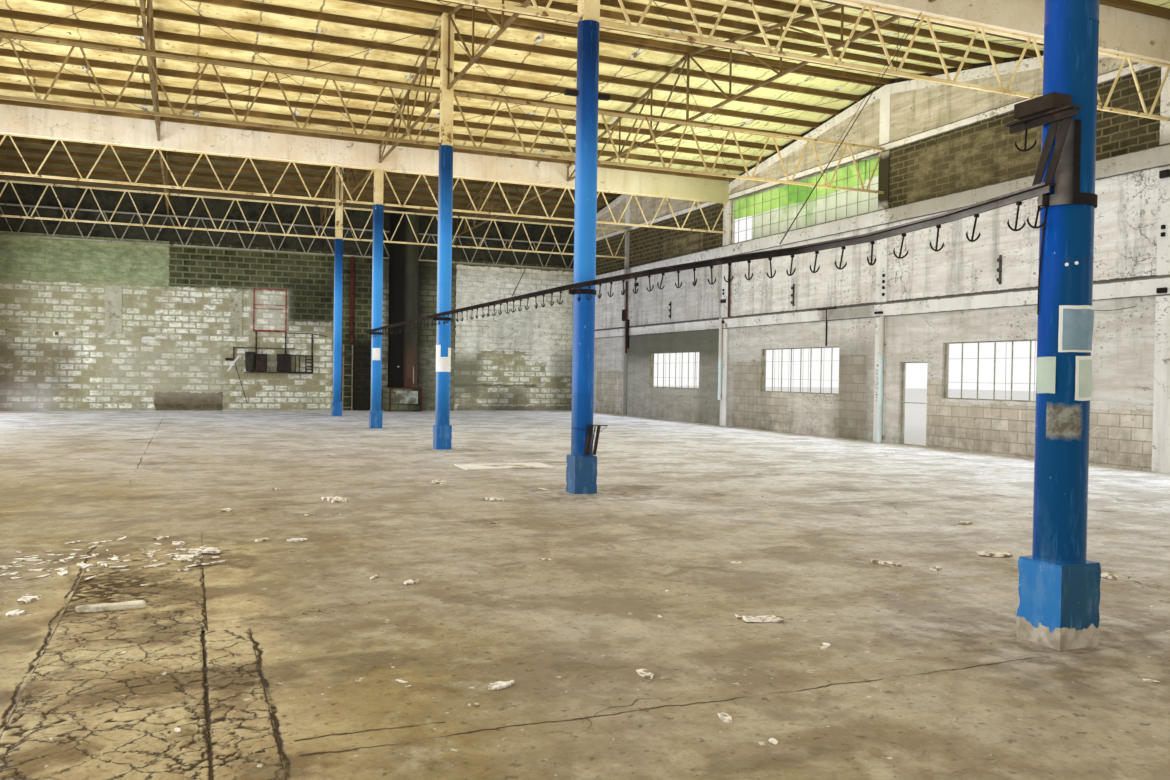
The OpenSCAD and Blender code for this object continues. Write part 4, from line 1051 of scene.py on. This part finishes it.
def addGrille(side, middle):
    x = side * (sideFace + 0.045)
    a = middle - grille["width"] / 2
    b = middle + grille["width"] / 2
    low, high = grille["low"], grille["high"]
    parts = addFrame(x, a, b, low, high, grille["rim"])
    parts.append(addBlock((min(side * sideFace, side * (sideFace + 0.09)), a, low - 0.001),
                          (max(side * sideFace, side * (sideFace + 0.09)), b, low + grille["sill"] * 0.3),
                          0.002))
    y = a + 0.225
    while y < b - 0.05:
        parts.append(addBlock((x - 0.005, y - grille["bar"], low), (x + 0.005, y + grille["bar"], high),
                              0.0015))
        for step in random.sample((0.06, 0.085, 0.165, 0.19), random.choice((0, 1, 1, 2))):
            lean = random.uniform(-0.012, 0.012)
            parts.append(addRod((x, y + step - 0.25, low), (x, y + step - 0.25 + lean, high), grille["thin"],
                                5))
        y += grille["pitch"]
    for z in (low + 0.2, high - 0.2):
        parts.append(addRod((x + 0.008, a, z), (x + 0.008, b, z + random.uniform(-0.01, 0.01)), 0.002, 5))
    return parts


def addClerestory(side):  # upright bars with three thin rods across
    i = 3
    x = side * (sideFace + 0.03)
    a = lineY[i] + postHalf
    b = lineY[i + 1] - postHalf
    low, high = 3.175, 3.935
    parts = addFrame(x, a, b, low, high, 0.016, 0.01)
    for k in range(1, 16):
        y = a + k * (b - a) / 16
        parts.append(addRod((x, y, low), (x, y, high), 0.006, 6))
    for k in (1, 2, 3):
        z = low + k * (high - low) / 4
        parts.append(addRod((x + side * 0.006, a, z), (x + side * 0.006, b, z), 0.0035, 5))
    return parts


def addDoor(side):  # thin side-door frame with a bar across
    middle = lineY[3] - 0.62
    x = side * (sideFace + 0.05)
    parts = addFrame(x, middle - 0.2525, middle + 0.2525, floorTop, floorTop + 1.06, 0.012, 0.01)
    parts.append(addRod((x, middle - 0.25, 0.64), (x, middle + 0.25, 0.64), 0.005, 6))
    return parts


for side, sideName in ((1, "right"), (-1, "left")):
    grilleParts = addClerestory(side) + addDoor(side)
    for i in range(5):
        grilleParts += addGrille(side, lineY[i] + bay / 2 - grille["shift"])
    joinPieces(grilleParts, sideName + "_window_grilles", barFinish)
print("grilles made")


# Tarpaulins over the open panel, outside its bars

tarp = {"low": 3.18, "high": 3.933, "x": 5.982, "deep": 0.005}


def addTarp(name, a, b, low, high, x, finish, folds, drop):
    # hung cloth with upright folds that gather upwards
    across, up = 90, 24
    bpy.ops.mesh.primitive_grid_add(x_subdivisions=across, y_subdivisions=up, size=1, location=(0, 0, 0))
    cloth = setDown(bpy.context.object)
    for vertex in cloth.data.vertices:
        u, v = vertex.co.x + 0.5, vertex.co.y + 0.5
        y = a + u * (b - a)
        top = high - drop * 4 * u * (1 - u)
        bottom = low + 0.03 * noise.noise(Vector((u * 5, low, 0)))
        z = bottom + v * (top - bottom)
        waver = 2 * noise.noise(Vector((u * 3, v * 2, low)))
        fold = math.sin(folds * (u + 0.09 * v * (0.5 - u)) * math.tau + waver)
        crease = 0.5 * noise.noise(Vector((u * 9, v * 5, 1)))
        vertex.co = (x + tarp["deep"] * (0.6 * fold * (0.4 + 0.6 * v) + crease), y, z)
    for face in cloth.data.polygons:
        face.use_smooth = True
    activate(cloth)
    solid = cloth.modifiers.new("thickness", "SOLIDIFY")
    solid.thickness = 0.0006
    bpy.ops.object.modifier_apply(modifier="thickness")
    piece = joinPieces([cloth], name, finish, None, ("tarpaulin",))
    return piece


addTarp("upper_tarpaulin", 1.15, 4.55, 3.6, tarp["high"], tarp["x"] - 0.009, greenCloth, 13, 0.012)
addTarp("near_tarpaulin", 0.775, 1.5, 3.3, tarp["high"] - 0.004, tarp["x"] + 0.008, greenCloth, 5, 0.0)
addTarp("lower_tarpaulin", 0.78, 4.0, tarp["low"], 3.68, tarp["x"], paleCloth, 17, 0.04)
print("tarpaulins hung")


# Roof: foil sagging between the purlins, corrugated sheets above it

roof = {"purlin": 0.47, "sag": 0.03, "foil": 0.004, "pitch": 0.038, "wave": 0.0035, "sheetLow": 0.081,
        "eave": 4.095, "peak": 4.695, "deck": 0.015, "gutter": 0.062}
ridgeLines = (lineY[1], lineY[3], lineY[5])
ridgeDeck = floorTop + roof["peak"] + roof["deck"]
fall = (roof["peak"] - roof["eave"]) / bay


def deckAt(y):  # plane that carries the purlins
    return ridgeDeck - fall * min(abs(y - ridge) for ridge in ridgeLines)


def addSlopeGrid(x, y0, y1, across, along):
    bpy.ops.mesh.primitive_grid_add(x_subdivisions=across, y_subdivisions=along, size=1,
                                    location=(0, (y0 + y1) / 2, 0))
    grid = bpy.context.object
    grid.scale = (2 * x, y1 - y0, 1)
    return setDown(grid)


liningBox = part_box("roof_lining")
slopeEnds = [liningBox[0].y, lineY[1], lineY[2], lineY[3], lineY[4], lineY[5], liningBox[1].y]
foils = []
for s in range(6):
    y0 = slopeEnds[s] + (roof["gutter"] if s in (2, 4) else 0.0005)
    y1 = slopeEnds[s + 1] - (roof["gutter"] if s in (1, 3) else 0.0005)
    ridge = min(ridgeLines, key=lambda line: abs(line - (y0 + y1) / 2))
    foil = addSlopeGrid(liningBox[1].x, y0, y1, 80, 54)
    for vertex in foil.data.vertices:
        run = abs(vertex.co.y - ridge) - 0.06
        between = run / roof["purlin"] % 1 if run > 0 else 0
        bulge = noise.noise(Vector((vertex.co.x * 0.9, int(run / roof["purlin"]) * 3.1 + s, 0)))
        slack = 0.35 + 0.65 * (0.5 + bulge)
        sag = roof["sag"] * slack * 4 * between * (1 - between)
        sag += 0.004 * abs(noise.noise(Vector((vertex.co.x * 5, vertex.co.y * 2, s))))
        vertex.co.z = deckAt(vertex.co.y) + 0.0755 - min(sag, 0.04)
    for face in foil.data.polygons:
        face.use_smooth = True
    activate(foil)
    solid = foil.modifiers.new("thickness", "SOLIDIFY")
    solid.thickness = roof["foil"]
    solid.offset = 1
    bpy.ops.object.modifier_apply(modifier="thickness")
    foils.append(foil)
foilPiece = joinPieces(foils, "sagging_foil", foilFinish, None, ("roof_lining",))
print("foil laid")

for name, node, slopes in (("rising_sheets", "rising_roof", (0, 2, 4)),
                           ("falling_sheets", "falling_roof", (1, 3, 5))):
    sheets = []
    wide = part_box(node)[1].x
    for s in slopes:
        y0 = slopeEnds[s] + (roof["gutter"] if s in (2, 4) else 0)
        y1 = slopeEnds[s + 1] - (roof["gutter"] if s in (1, 3) else 0)
        count = int(2 * wide / roof["pitch"]) * 6
        sheet = addSlopeGrid(wide, y0, y1, count, 4)
        for vertex in sheet.data.vertices:
            vertex.co.z = deckAt(vertex.co.y) + roof["sheetLow"] + 0.0055 + \
                roof["wave"] * math.cos(vertex.co.x / roof["pitch"] * math.tau)
        for face in sheet.data.polygons:
            face.use_smooth = True
        activate(sheet)
        solid = sheet.modifiers.new("thickness", "SOLIDIFY")
        solid.thickness = 0.0012
        solid.offset = 1
        bpy.ops.object.modifier_apply(modifier="thickness")
        sheets.append(sheet)
    joinPieces(sheets, name, sheetFinish, None, (node,))
print("roof sheets laid")


# Blocks of the back wall as laid, standing a little out of their joints

blocks = {"length": 0.255, "height": 0.125, "face": 0.219, "high": 0.089, "proud": 0.005, "edge": 0.0035,
          "jitter": 0.002}


def blockCourses(low, high, left, right, skip):
    spots = []
    row = 0
    while low + (row + 1) * blocks["height"] <= high + 0.001:
        z = low + (row + 0.5) * blocks["height"]
        start = left - (blocks["length"] / 2 if row % 2 else 0)
        for k in range(int((right - start) / blocks["length"]) + 1):
            x = start + (k + 0.5) * blocks["length"]
            if left + blocks["face"] / 2 < x < right - blocks["face"] / 2 and not skip(x, z):
                spots.append((x, z))
        row += 1
    return spots


def hidden(x, z):  # rendered, covered or broken away, so no block shows
    covered = x < -2.9 and z > 2.55
    ledge = x < -1.4 and 1.58 < z < 1.68
    piers = z > 1.6 and z < 2.56 and (-4.2 < x < -3.64 or -1.9 < x < -1.42)
    shaft = 1.3 < x < 2.95
    patch = -3.17 < x < -1.91 and z < 0.46
    bared = 4.0 < x < 4.7 and 1.4 < z < 2.1
    plastered = x > 2.9 and (z > 1.45 or z < 0.6 or x < 3.45 or x > 5.0) and not bared
    sunk = noise.noise(Vector((x * 1.7, z * 2.3, 4))) > 0.43
    return covered or ledge or piers or shaft or patch or plastered or sunk


spots = blockCourses(floorTop, wallTop, -postFace, postFace, hidden)
model = addBlock((-blocks["face"] / 2, -blocks["proud"], -blocks["high"] / 2),
                 (blocks["face"] / 2, 0.001, blocks["high"] / 2), blocks["edge"])
laid = repeatAt(model, [Matrix.Translation((x + random.uniform(-1, 1) * blocks["jitter"], backFace,
                                            z + random.uniform(-1, 1) * blocks["jitter"])) @
                        Matrix.Scale(random.uniform(0.96, 1.02), 4, (1, 0, 0)) for x, z in spots])
joinPieces(laid, "back_wall_blocks", endFinish)
print(f"{len(spots)} blocks laid")


# Broken strip in the floor: a filled trench cracked into loose plates

strip = {"left": -2.945, "step": -2.5, "right": -2.375, "front": -11.2, "near": -8.5, "turn": -6.35,
         "back": -4.3, "rise": 0.0055, "plate": 8.5, "crack": 0.1}


def addPlates(x0, x1, y0, y1, cell, end=9.0):
    # fine grid raised into plates, with cracks where two plates meet
    across = round((x1 - x0) / cell)
    along = round((y1 - y0) / cell)
    bpy.ops.mesh.primitive_grid_add(x_subdivisions=across, y_subdivisions=along, size=1,
                                    location=((x0 + x1) / 2, (y0 + y1) / 2, floorTop + 0.0003))
    plates = bpy.context.object
    plates.scale = (x1 - x0, y1 - y0, 1)
    setDown(plates)
    for vertex in plates.data.vertices:
        spot = vertex.co.copy()
        spot.z = 0
        fine = noise.voronoi((spot + 0.02 * noise.noise_vector(spot * 12)) * 2.3 * strip["plate"])[0]
        shattered = max(0.0, noise.noise(spot * 2.6 + Vector((0, 5, 1))) * 2)
        bent = spot + 0.06 * noise.noise_vector(spot * 4) + 0.014 * noise.noise_vector(spot * 19)
        reach, middles = noise.voronoi(bent * strip["plate"])
        gap = reach[1] - reach[0]
        broken = min(1.0, max(0.0, 0.35 + 1.3 * noise.noise(spot * 1.6 + Vector((0, 0, 7)))))
        fading = min(1.0, max(0.0, (strip["back"] - spot.y) / 1.2))
        lift = min(1.0, gap / (strip["crack"] * (0.5 + 0.5 * broken))) ** 0.6
        lift = min(lift, 1 - shattered * max(0.0, 1 - (fine[1] - fine[0]) / 0.12))
        tilt = 0.9 + 0.2 * noise.cell(middles[0] * 3.7)
        rubble = max(0.0, 0.6 * noise.noise(spot * 1.9 + Vector((3, 0, 2))) - 0.08)
        rubble *= 0.8 + 2.4 * noise.noise(spot * 38)
        border = min(spot.x - x0, x1 - spot.x, end - spot.y)
        edge = min(1.0, max(0.0, (border - 0.001 - 0.005 * noise.noise(spot * 14)) / 0.005))
        high = max(0.0, lift * tilt - 1.6 * rubble) * edge
        vertex.co.z += strip["rise"] * (1 - fading + high * fading)
    for face in plates.data.polygons:
        face.use_smooth = True
    return plates


plates = [addPlates(strip["left"], -2.517, strip["front"], strip["near"], 0.014),
          addPlates(-2.513, strip["right"], strip["front"], strip["near"], 0.014),
          addPlates(strip["left"], -2.517, strip["near"], strip["turn"], 0.0062),
          addPlates(-2.513, strip["right"], strip["near"], strip["turn"], 0.0062, strip["turn"]),
          addPlates(strip["left"], strip["step"], strip["turn"], strip["back"], 0.01)]
joinPieces(plates, "cracked_floor_strip", floorFinish)
print("strip laid")


# Fallen plaster and chips lying about

flakes = {"thick": 0.006, "bar": (-2.8, -5.98),
          "large": [(-1.69, -3.33, 0.14), (-0.75, -6.81, 0.1), (-1.8, -7.16, 0.06), (0.97, -6.13, 0.1),
                    (1.06, -6.66, 0.07), (-2.47, -4.95, 0.09), (-2.6, -4.7, 0.06), (0.46, -6.3, 0.05),
                    (-0.31, -5.9, 0.035), (-1.0, -4.5, 0.04), (-0.2, -3.1, 0.05), (-2.0, -2.6, 0.05),
                    (0.32, -6.14, 0.09), (1.6, -5.3, 0.07), (2.2, -4.9, 0.05), (-3.08, -5.7, 0.08),
                    (-3.09, -5.9, 0.045), (-2.35, -3.6, 0.07), (-1.92, -3.9, 0.05), (-2.07, -4.75, 0.06),
                    (-2.23, -4.7, 0.05), (-1.87, -5.71, 0.04), (-2.68, -4.53, 0.06), (-2.56, -5.07, 0.08),
                    (-0.71, -3.55, 0.1), (-0.81, -2.51, 0.12), (-0.81, -6.73, 0.04), (-0.75, -7.14, 0.045),
                    (-1.36, -7.57, 0.045), (-1.39, -7.2, 0.045), (-1.75, -5.85, 0.06), (-1.09, -5.57, 0.035)],
          "heap": 190, "loose": 190}


def addFlake(x, y, size, long=1.6):  # broken chip: a low block with its corners knocked about
    onStrip = strip["left"] < x < strip["right"] and y < strip["back"]
    bpy.ops.mesh.primitive_circle_add(vertices=7, radius=size / 2, fill_type="NGON",
                                      rotation=(0, 0, random.uniform(0, 3)),
                                      location=(x, y, floorTop + (strip["rise"] if onStrip else 0.0005)))
    chip = bpy.context.object
    chip.scale = (long, random.uniform(0.5, 1), 1)
    setDown(chip)
    editAll(chip)
    thick = max(0.002, flakes["thick"] * size / 0.05)
    bpy.ops.mesh.extrude_region_move(TRANSFORM_OT_translate={"value": (0, 0, thick)})
    bpy.ops.mesh.select_all(action="SELECT")
    bpy.ops.mesh.normals_make_consistent(inside=False)
    endEdit()
    lean = random.uniform(-0.12, 0.12)
    for vertex in chip.data.vertices:
        spread = noise.noise_vector(vertex.co * 30)
        vertex.co.x += spread.x * size * 0.3
        vertex.co.y += spread.y * size * 0.3
        vertex.co.z += max(0.0, (vertex.co.x - x) * lean)
    return chip


chips = [addFlake(*place) for place in flakes["large"]]
for k in range(flakes["heap"]):  # a band of rubble across the strip
    chips.append(addFlake(random.uniform(-3.9, -2.45), random.gauss(-5.0, 0.17), random.uniform(0.008, 0.036),
                          random.uniform(1.5, 4)))
for k in range(flakes["loose"]):
    chips.append(addFlake(random.uniform(-5.3, 5.3), random.uniform(-8.2, 8.5), random.uniform(0.006, 0.026)))
barX, barY = flakes["bar"]
bar = addBlock((barX - 0.105, barY - 0.014, floorTop + 0.005),
               (barX + 0.105, barY + 0.014, floorTop + 0.03), 0.006)
editAll(bar)
bpy.ops.mesh.subdivide(number_cuts=4)
endEdit()
for vertex in bar.data.vertices:
    vertex.co += 0.007 * noise.noise_vector(vertex.co * 25)
    vertex.co.y += 0.5 * (vertex.co.x - barX) ** 2
joinPieces([bar], "fallen_bar", barPlasterFinish)
joinPieces(chips, "fallen_plaster", flakeFinish)
board = addBlock((-0.36, -1.62, floorTop + 0.001), (0.45, -1.2, floorTop + 0.012), 0.002)
joinPieces([board], "fallen_board", boardFinish)
print(f"{len(chips)} chips lying")

# Red angle frame on the back wall, the dark shelves under it and what stands on them

# height, half height
wallFrame = {"left": -1.32, "right": -0.685, "low": 1.72, "high": 2.62, "half": 0.01, "deep": 0.011,
             "out": 0.012, "rails": [(2.615, 0.009), (2.285, 0.006), (2.2, 0.006), (1.745, 0.02)]}
shelf = {"back": 0.002, "edge": 0.003,  # boards: left, right, height, depth, half thickness
         "boards": [(-1.5, -0.14, 0.885, 0.19, 0.008), (-1.71, -0.5, 1.39, 0.09, 0.006)],
         "hangers": [(-1.27, 1.26, 1.73), (-0.685, 1.26, 1.73), (-0.15, 0.88, 1.71), (-1.7, 1.15, 1.39)],
         "hanger": 0.011, "rod": 0.008, "boxes": [(-1.28, -1.06, 0.9, 1.265), (-0.86, -0.61, 0.905, 1.275)],
         "boxWall": 0.012, "boxDeep": 0.25}
rungRack = {"left": -0.6, "right": -0.145, "low": 0.9, "high": 1.245,
            "posts": (-0.595, -0.5, -0.42, -0.29, -0.15), "rungs": (0.96, 1.03, 1.1, 1.17), "rungLeft": -0.28,
            "rungRight": -0.155, "bar": 0.01}
basket = {"x": -1.39, "z": 0.9, "rings": [(0, 0.075), (0.1, 0.085), (0.28, 0.095), (0.4, 0.098),
                                          (0.405, 0.09)]}


def addBars(bars, radius):  # round bars between pairs of points
    return [addRod(start, end, radius, 6) for start, end in bars]


def addOpenBox(left, right, low, high):  # steel box, hollowed from its top face
    box = addBlock((left, shelfY - 0.17, low), (right, shelfY - 0.01, high), 0.006)
    editAll(box)
    bpy.ops.mesh.select_mode(type="FACE")
    bpy.ops.mesh.select_all(action="DESELECT")
    endEdit()
    for face in box.data.polygons:
        face.select = face.normal.z > 0.9 and face.area > 0.01
    bpy.ops.object.mode_set(mode="EDIT")
    bpy.ops.mesh.inset(thickness=shelf["boxWall"])
    bpy.ops.mesh.extrude_region_move(TRANSFORM_OT_translate={"value": (0, 0, -shelf["boxDeep"])})
    return endEdit()


frameY = backFace - wallFrame["out"]
half = wallFrame["half"]
frameParts = [addBlock((x - half, frameY - wallFrame["out"], wallFrame["low"]),
                       (x + half, frameY + wallFrame["deep"], wallFrame["high"]), 0.003)
              for x in (wallFrame["left"], wallFrame["right"])]
frameParts += [addBlock((wallFrame["left"], frameY - half, z - thick),
                        (wallFrame["right"], frameY + half, z + thick), 0.002) for z,
               thick in wallFrame["rails"]]
joinPieces(frameParts, "red_wall_frame", redFinish, None, ("wall_rack",))

shelfY = backFace - shelf["back"]
shelves = []
for left, right, z, deep, thick in shelf["boards"]:
    shelves.append(addBlock((left, shelfY - deep, z - thick), (right, shelfY, z + thick), shelf["edge"]))
for x, low, high in shelf["hangers"]:
    shelves.append(addBlock((x - shelf["hanger"], shelfY - 0.04, low),
                            (x + shelf["hanger"], shelfY, high), shelf["edge"]))
shelves += addBars([((-0.67, shelfY - 0.02, 1.715), (-0.1, shelfY - 0.02, 1.712)),
                    ((-0.1, shelfY - 0.02, 1.712), (0.16, shelfY - 0.04, 1.66))], shelf["rod"])
shelves += [addOpenBox(*sides) for sides in shelf["boxes"]]
bar = rungRack["bar"]
for z in (rungRack["low"], rungRack["high"]):
    for y in (shelfY - 0.15, shelfY - 0.02):
        shelves.append(addBlock((rungRack["left"], y - 0.008, z - 0.009),
                                (rungRack["right"], y + 0.008, z + 0.009), 0.002))
for x in rungRack["posts"]:
    shelves.append(addBlock((x - bar, shelfY - 0.16, rungRack["low"]),
                            (x + bar, shelfY - 0.14, rungRack["high"]), 0.002))
for z in rungRack["rungs"]:
    shelves.append(addBlock((rungRack["rungLeft"], shelfY - 0.158, z - bar),
                            (rungRack["rungRight"], shelfY - 0.142, z + bar), 0.002))
shelves.append(addBlock((-1.86, shelfY - 0.06, 1.12), (-1.71, shelfY, 1.17), 0.01))
joinPieces(shelves, "dark_wall_shelves", shelfFinish)
basketParts = [stackRings((basket["x"], shelfY - 0.1, basket["z"]), basket["rings"], 16)]
basketParts += addBars([((-1.69, shelfY - 0.08, 1.1), (-1.43, shelfY - 0.05, 0.24))], 0.007)
joinPieces(basketParts, "shelf_basket", darkSheetFinish, 40)
plank = addBars([((-1.6, shelfY - 0.09, 1.22), (-1.81, shelfY - 0.07, 0.91))], 0.016)
joinPieces(plank, "pale_bar", boardFinish)
print("shelves filled")


# Flue: lapped seams, fire door, collar at the foot, pale face of the base block and its rusty corner bars

flueLow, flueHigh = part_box("flue")
# height, width
flue = {"x": (flueLow.x + flueHigh.x) / 2, "y": (flueLow.y + flueHigh.y) / 2,
        "radius": (flueHigh.x - flueLow.x) / 2, "proud": 0.006,
        "bands": [(1.74, 0.018), (2.95, 0.018), (flueLow.z, 0.06)]}


def addBand(z, high):  # rolled band, closed on the flue at both edges
    near = flue["radius"] + 0.001
    far = flue["radius"] + flue["proud"]
    ring = stackRings((flue["x"], flue["y"], z), [(0, near), (0.003, far), (high - 0.003, far), (high, near)],
                      48)
    least = flue["radius"] * 0.8
    return keepFaces(ring, lambda spot: math.hypot(spot.x - flue["x"], spot.y - flue["y"]) > least)


bands = [addBand(*place) for place in flue["bands"]]
doorY = flueLow.y - 0.012
bands.append(addBlock((1.655, doorY, 0.62), (1.81, flueLow.y + 0.03, 0.82), 0.006))
bands += addBars([((1.63, doorY, 1.93), (1.644, doorY, 0.74))], 0.005)
joinPieces(bands, "flue_bands", flueFinish, 40)
pale = addBars([((1.847, flueLow.y - 0.02, 1.06), (1.852, flueLow.y - 0.02, 0.7))], 0.009)
pale.append(addBlock((1.475, 10.578, 0.27), (1.95, 10.6, 0.54), 0.008))
pale.append(addBlock((1.51, flueLow.y - 0.02, 1.035), (1.55, flueLow.y + 0.01, 1.065), 0.008))
joinPieces(pale, "flue_base_face", mortarFinish)
corners = [addBlock((x - 0.014, 10.572, 0.1), (x + 0.014, 10.6, 0.61), 0.003) for x in (1.36, 2.02)]
corners.append(addBlock((1.35, 10.57, 0.585), (2.03, 10.6, 0.612), 0.003))
joinPieces(corners, "flue_base_bars", oldPipeFinish)
print("flue fitted")


# Fittings of the right wall, and the wires

wallX = postFace - 0.001
fitting = {"plates": [(-3.35, -3.26, 2.86, 2.93), (-3.35, -3.26, 1.78, 1.83), (4.62, 4.76, 2.2, 2.26),
                      (4.66, 4.78, 1.85, 1.9), (0.62, 0.76, 1.8, 1.83), (4.86, 4.96, 2.93, 2.97),
                      (8.1, 8.2, 2.76, 2.83), (8.62, 8.8, 2.08, 2.32), (8.5, 8.6, 1.5, 2.1)],  # along, up
           "boxes": [(0.61, 2.05), (0.61, 2.14), (0.61, 2.22), (0.61, 2.3), (4.7, 2.36), (4.7, 2.42),
                     (-3.3, 2.4), (-3.3, 2.33)], "box": 0.02}
socket = {"rings": [(0, 0.0305), (0.002, 0.034), (0.038, 0.034), (0.04, 0.0305)], "in": 0.03}

fittings = [addBlock((wallX - 0.03, a, low), (sideFace + 0.001, b, high), 0.004)
            for a, b, low, high in fitting["plates"]]
size = fitting["box"]
fittings += [addBlock((wallX - size, y - size, z - size), (wallX + 0.001, y + size, z + size), 0.006)
             for y, z in fitting["boxes"]]
fittings += addBars([((sideFace - 0.012, 1.83, 1.94), (sideFace - 0.012, 1.83, 1.4)),
                     ((sideFace - 0.03, 1.6, 1.93), (sideFace - 0.03, 2.02, 1.93))], 0.011)
joinPieces(fittings, "wall_fittings", railFinish)
conduits = addBars([((wallX - 0.02, 4.49, 1.95), (wallX - 0.02, 4.49, 2.92)),
                    ((wallX - 0.02, 8.58, 1.4), (wallX - 0.02, 8.6, 2.9))], 0.02)
joinPieces(conduits, "wall_conduits", oldPipeFinish)
wallRod = addBars([((4.26, backFace - 0.01, 2.71), (4.56, backFace - 0.01, 3.33))], 0.007)
joinPieces(wallRod, "back_wall_rod", shelfFinish)
pipeLow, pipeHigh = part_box("downpipes")
collars = []
for y, foot in ((pipeLow.y + socket["in"], 0.1), (pipeHigh.y - socket["in"], 0.54)):
    for z in (foot + 0.02, foot + 0.55, 1.24):
        collars.append(stackRings((pipeLow.x + socket["in"], y, z), socket["rings"], 20))
joinPieces(collars, "pipe_sockets", pipeFinish, 40)

wires = addWire([(2.95, -3.335, 3.95), (-0.107, -5.9, 1.53)], 0.0028)
wires += addWire([(2.95, -3.182, 3.875), (2.95, -2.135, 3.015)], 0.0022)
wires += addWire(sagging((wallX - 0.006, -2.557, 1.665), (wallX - 0.006, -3.043, 1.676), 0.02), 0.0028)
wires += addWire([(-0.0795, -7.354, 1.63), (-0.08, -7.32, 1.42), (-0.076, -7.302, 1.25),
                  (-0.073, -7.298, 1.14)],
                 0.0026)
joinPieces(wires, "loose_wires", wireFinish)
bolts = [addRod((-0.0585, -7.39, 1.29), (-0.0545, -7.385, 1.29), 0.0055, 10),
         addRod((-0.0365, -7.407, 1.294), (-0.034, -7.402, 1.294), 0.0055, 10)]
joinPieces(bolts, "bolt_heads", bandFinish)
print("wall fitted")


# Timber packing between the purlins along the wall tops, which closes the gap under the sheets; its
# near-black timber is painted shade for the dark gap there

packed = {"first": 0.06, "half": 0.036, "thick": 0.045, "high": 0.068, "lift": 0.001}
packing = []
for s in range(6):
    low, high = slopeEnds[s], slopeEnds[s + 1]
    ridge = min(ridgeLines, key=lambda line: abs(line - (low + high) / 2))
    side = 1 if (low + high) / 2 > ridge else -1
    k = 0
    while packed["first"] + roof["purlin"] * (k + 1) < abs(high - low):
        near = packed["first"] + roof["purlin"] * k + packed["half"]
        far = packed["first"] + roof["purlin"] * (k + 1) - packed["half"]
        a, b = sorted((ridge + side * near, ridge + side * far))
        for x in (-sideFace - 0.05, sideFace + 0.005):
            board = addBlock((x, a, 0), (x + packed["thick"], b, packed["high"]), 0.004)
            for vertex in board.data.vertices:
                vertex.co.z += deckAt(vertex.co.y) + packed["lift"]
            packing.append(board)
        k += 1
joinPieces(packing, "purlin_gap_shade", armFinish)
print("wall tops packed")


# Thin wind bracing crossed under the purlins

brace = {"fields": 4, "in": 0.05, "end": 0.25, "under": 0.006, "rod": 0.0032}
bracing = []
wide = 2 * (sideFace - brace["in"])
braceX = [k * wide / brace["fields"] - wide / 2 for k in range(brace["fields"] + 1)]
for s in range(6):
    y0 = slopeEnds[s] + brace["end"]
    y1 = slopeEnds[s + 1] - brace["end"]
    for x0, x1 in zip(braceX, braceX[1:]):
        for a, b in ((y0, y1), (y1, y0)):
            start = (x0, a, deckAt(a) - brace["under"])
            end = (x1, b, deckAt(b) - brace["under"])
            bracing.append(addRod(start, end, brace["rod"], 5))
joinPieces(bracing, "wind_bracing", wireFinish)
print("bracing strung")


# Bundle of bars wired to the foot of the second column

bundled = {"low": 0.372, "high": 0.578,  # across at the top and at the foot, half width
           "bars": [(0.016, -0.012, 0.008), (0.037, 0.007, 0.007), (0.058, 0.026, 0.004),
                    (0.086, 0.052, 0.011)]}
bundleY = lineY[2] - columnRadius - 0.012
bundle = addBars([((0.0, bundleY, 0.58), (0.155, bundleY, 0.575))], 0.003)
for top, foot, size in bundled["bars"]:
    bar = addBlock((foot - size, bundleY - 0.006 - size, bundled["low"]),
                   (foot + size, bundleY - 0.004, bundled["high"]), 0.002)
    for vertex in bar.data.vertices:
        vertex.co.x += (top - foot) * (vertex.co.z - bundled["low"]) / (bundled["high"] - bundled["low"])
    bundle.append(bar)
bundle += addWire([(-0.088, lineY[2] - 0.03, 0.557), (-0.05, bundleY + 0.01, 0.55),
                   (0.0, bundleY - 0.008, 0.541),
                   (0.06, bundleY - 0.02, 0.545)], 0.002)
bundle += addWire([(0.155, bundleY, 0.575), (0.094, bundleY - 0.012, 0.532)], 0.0018)
joinPieces(bundle, "wired_bars", wireFinish)
print("bars wired")
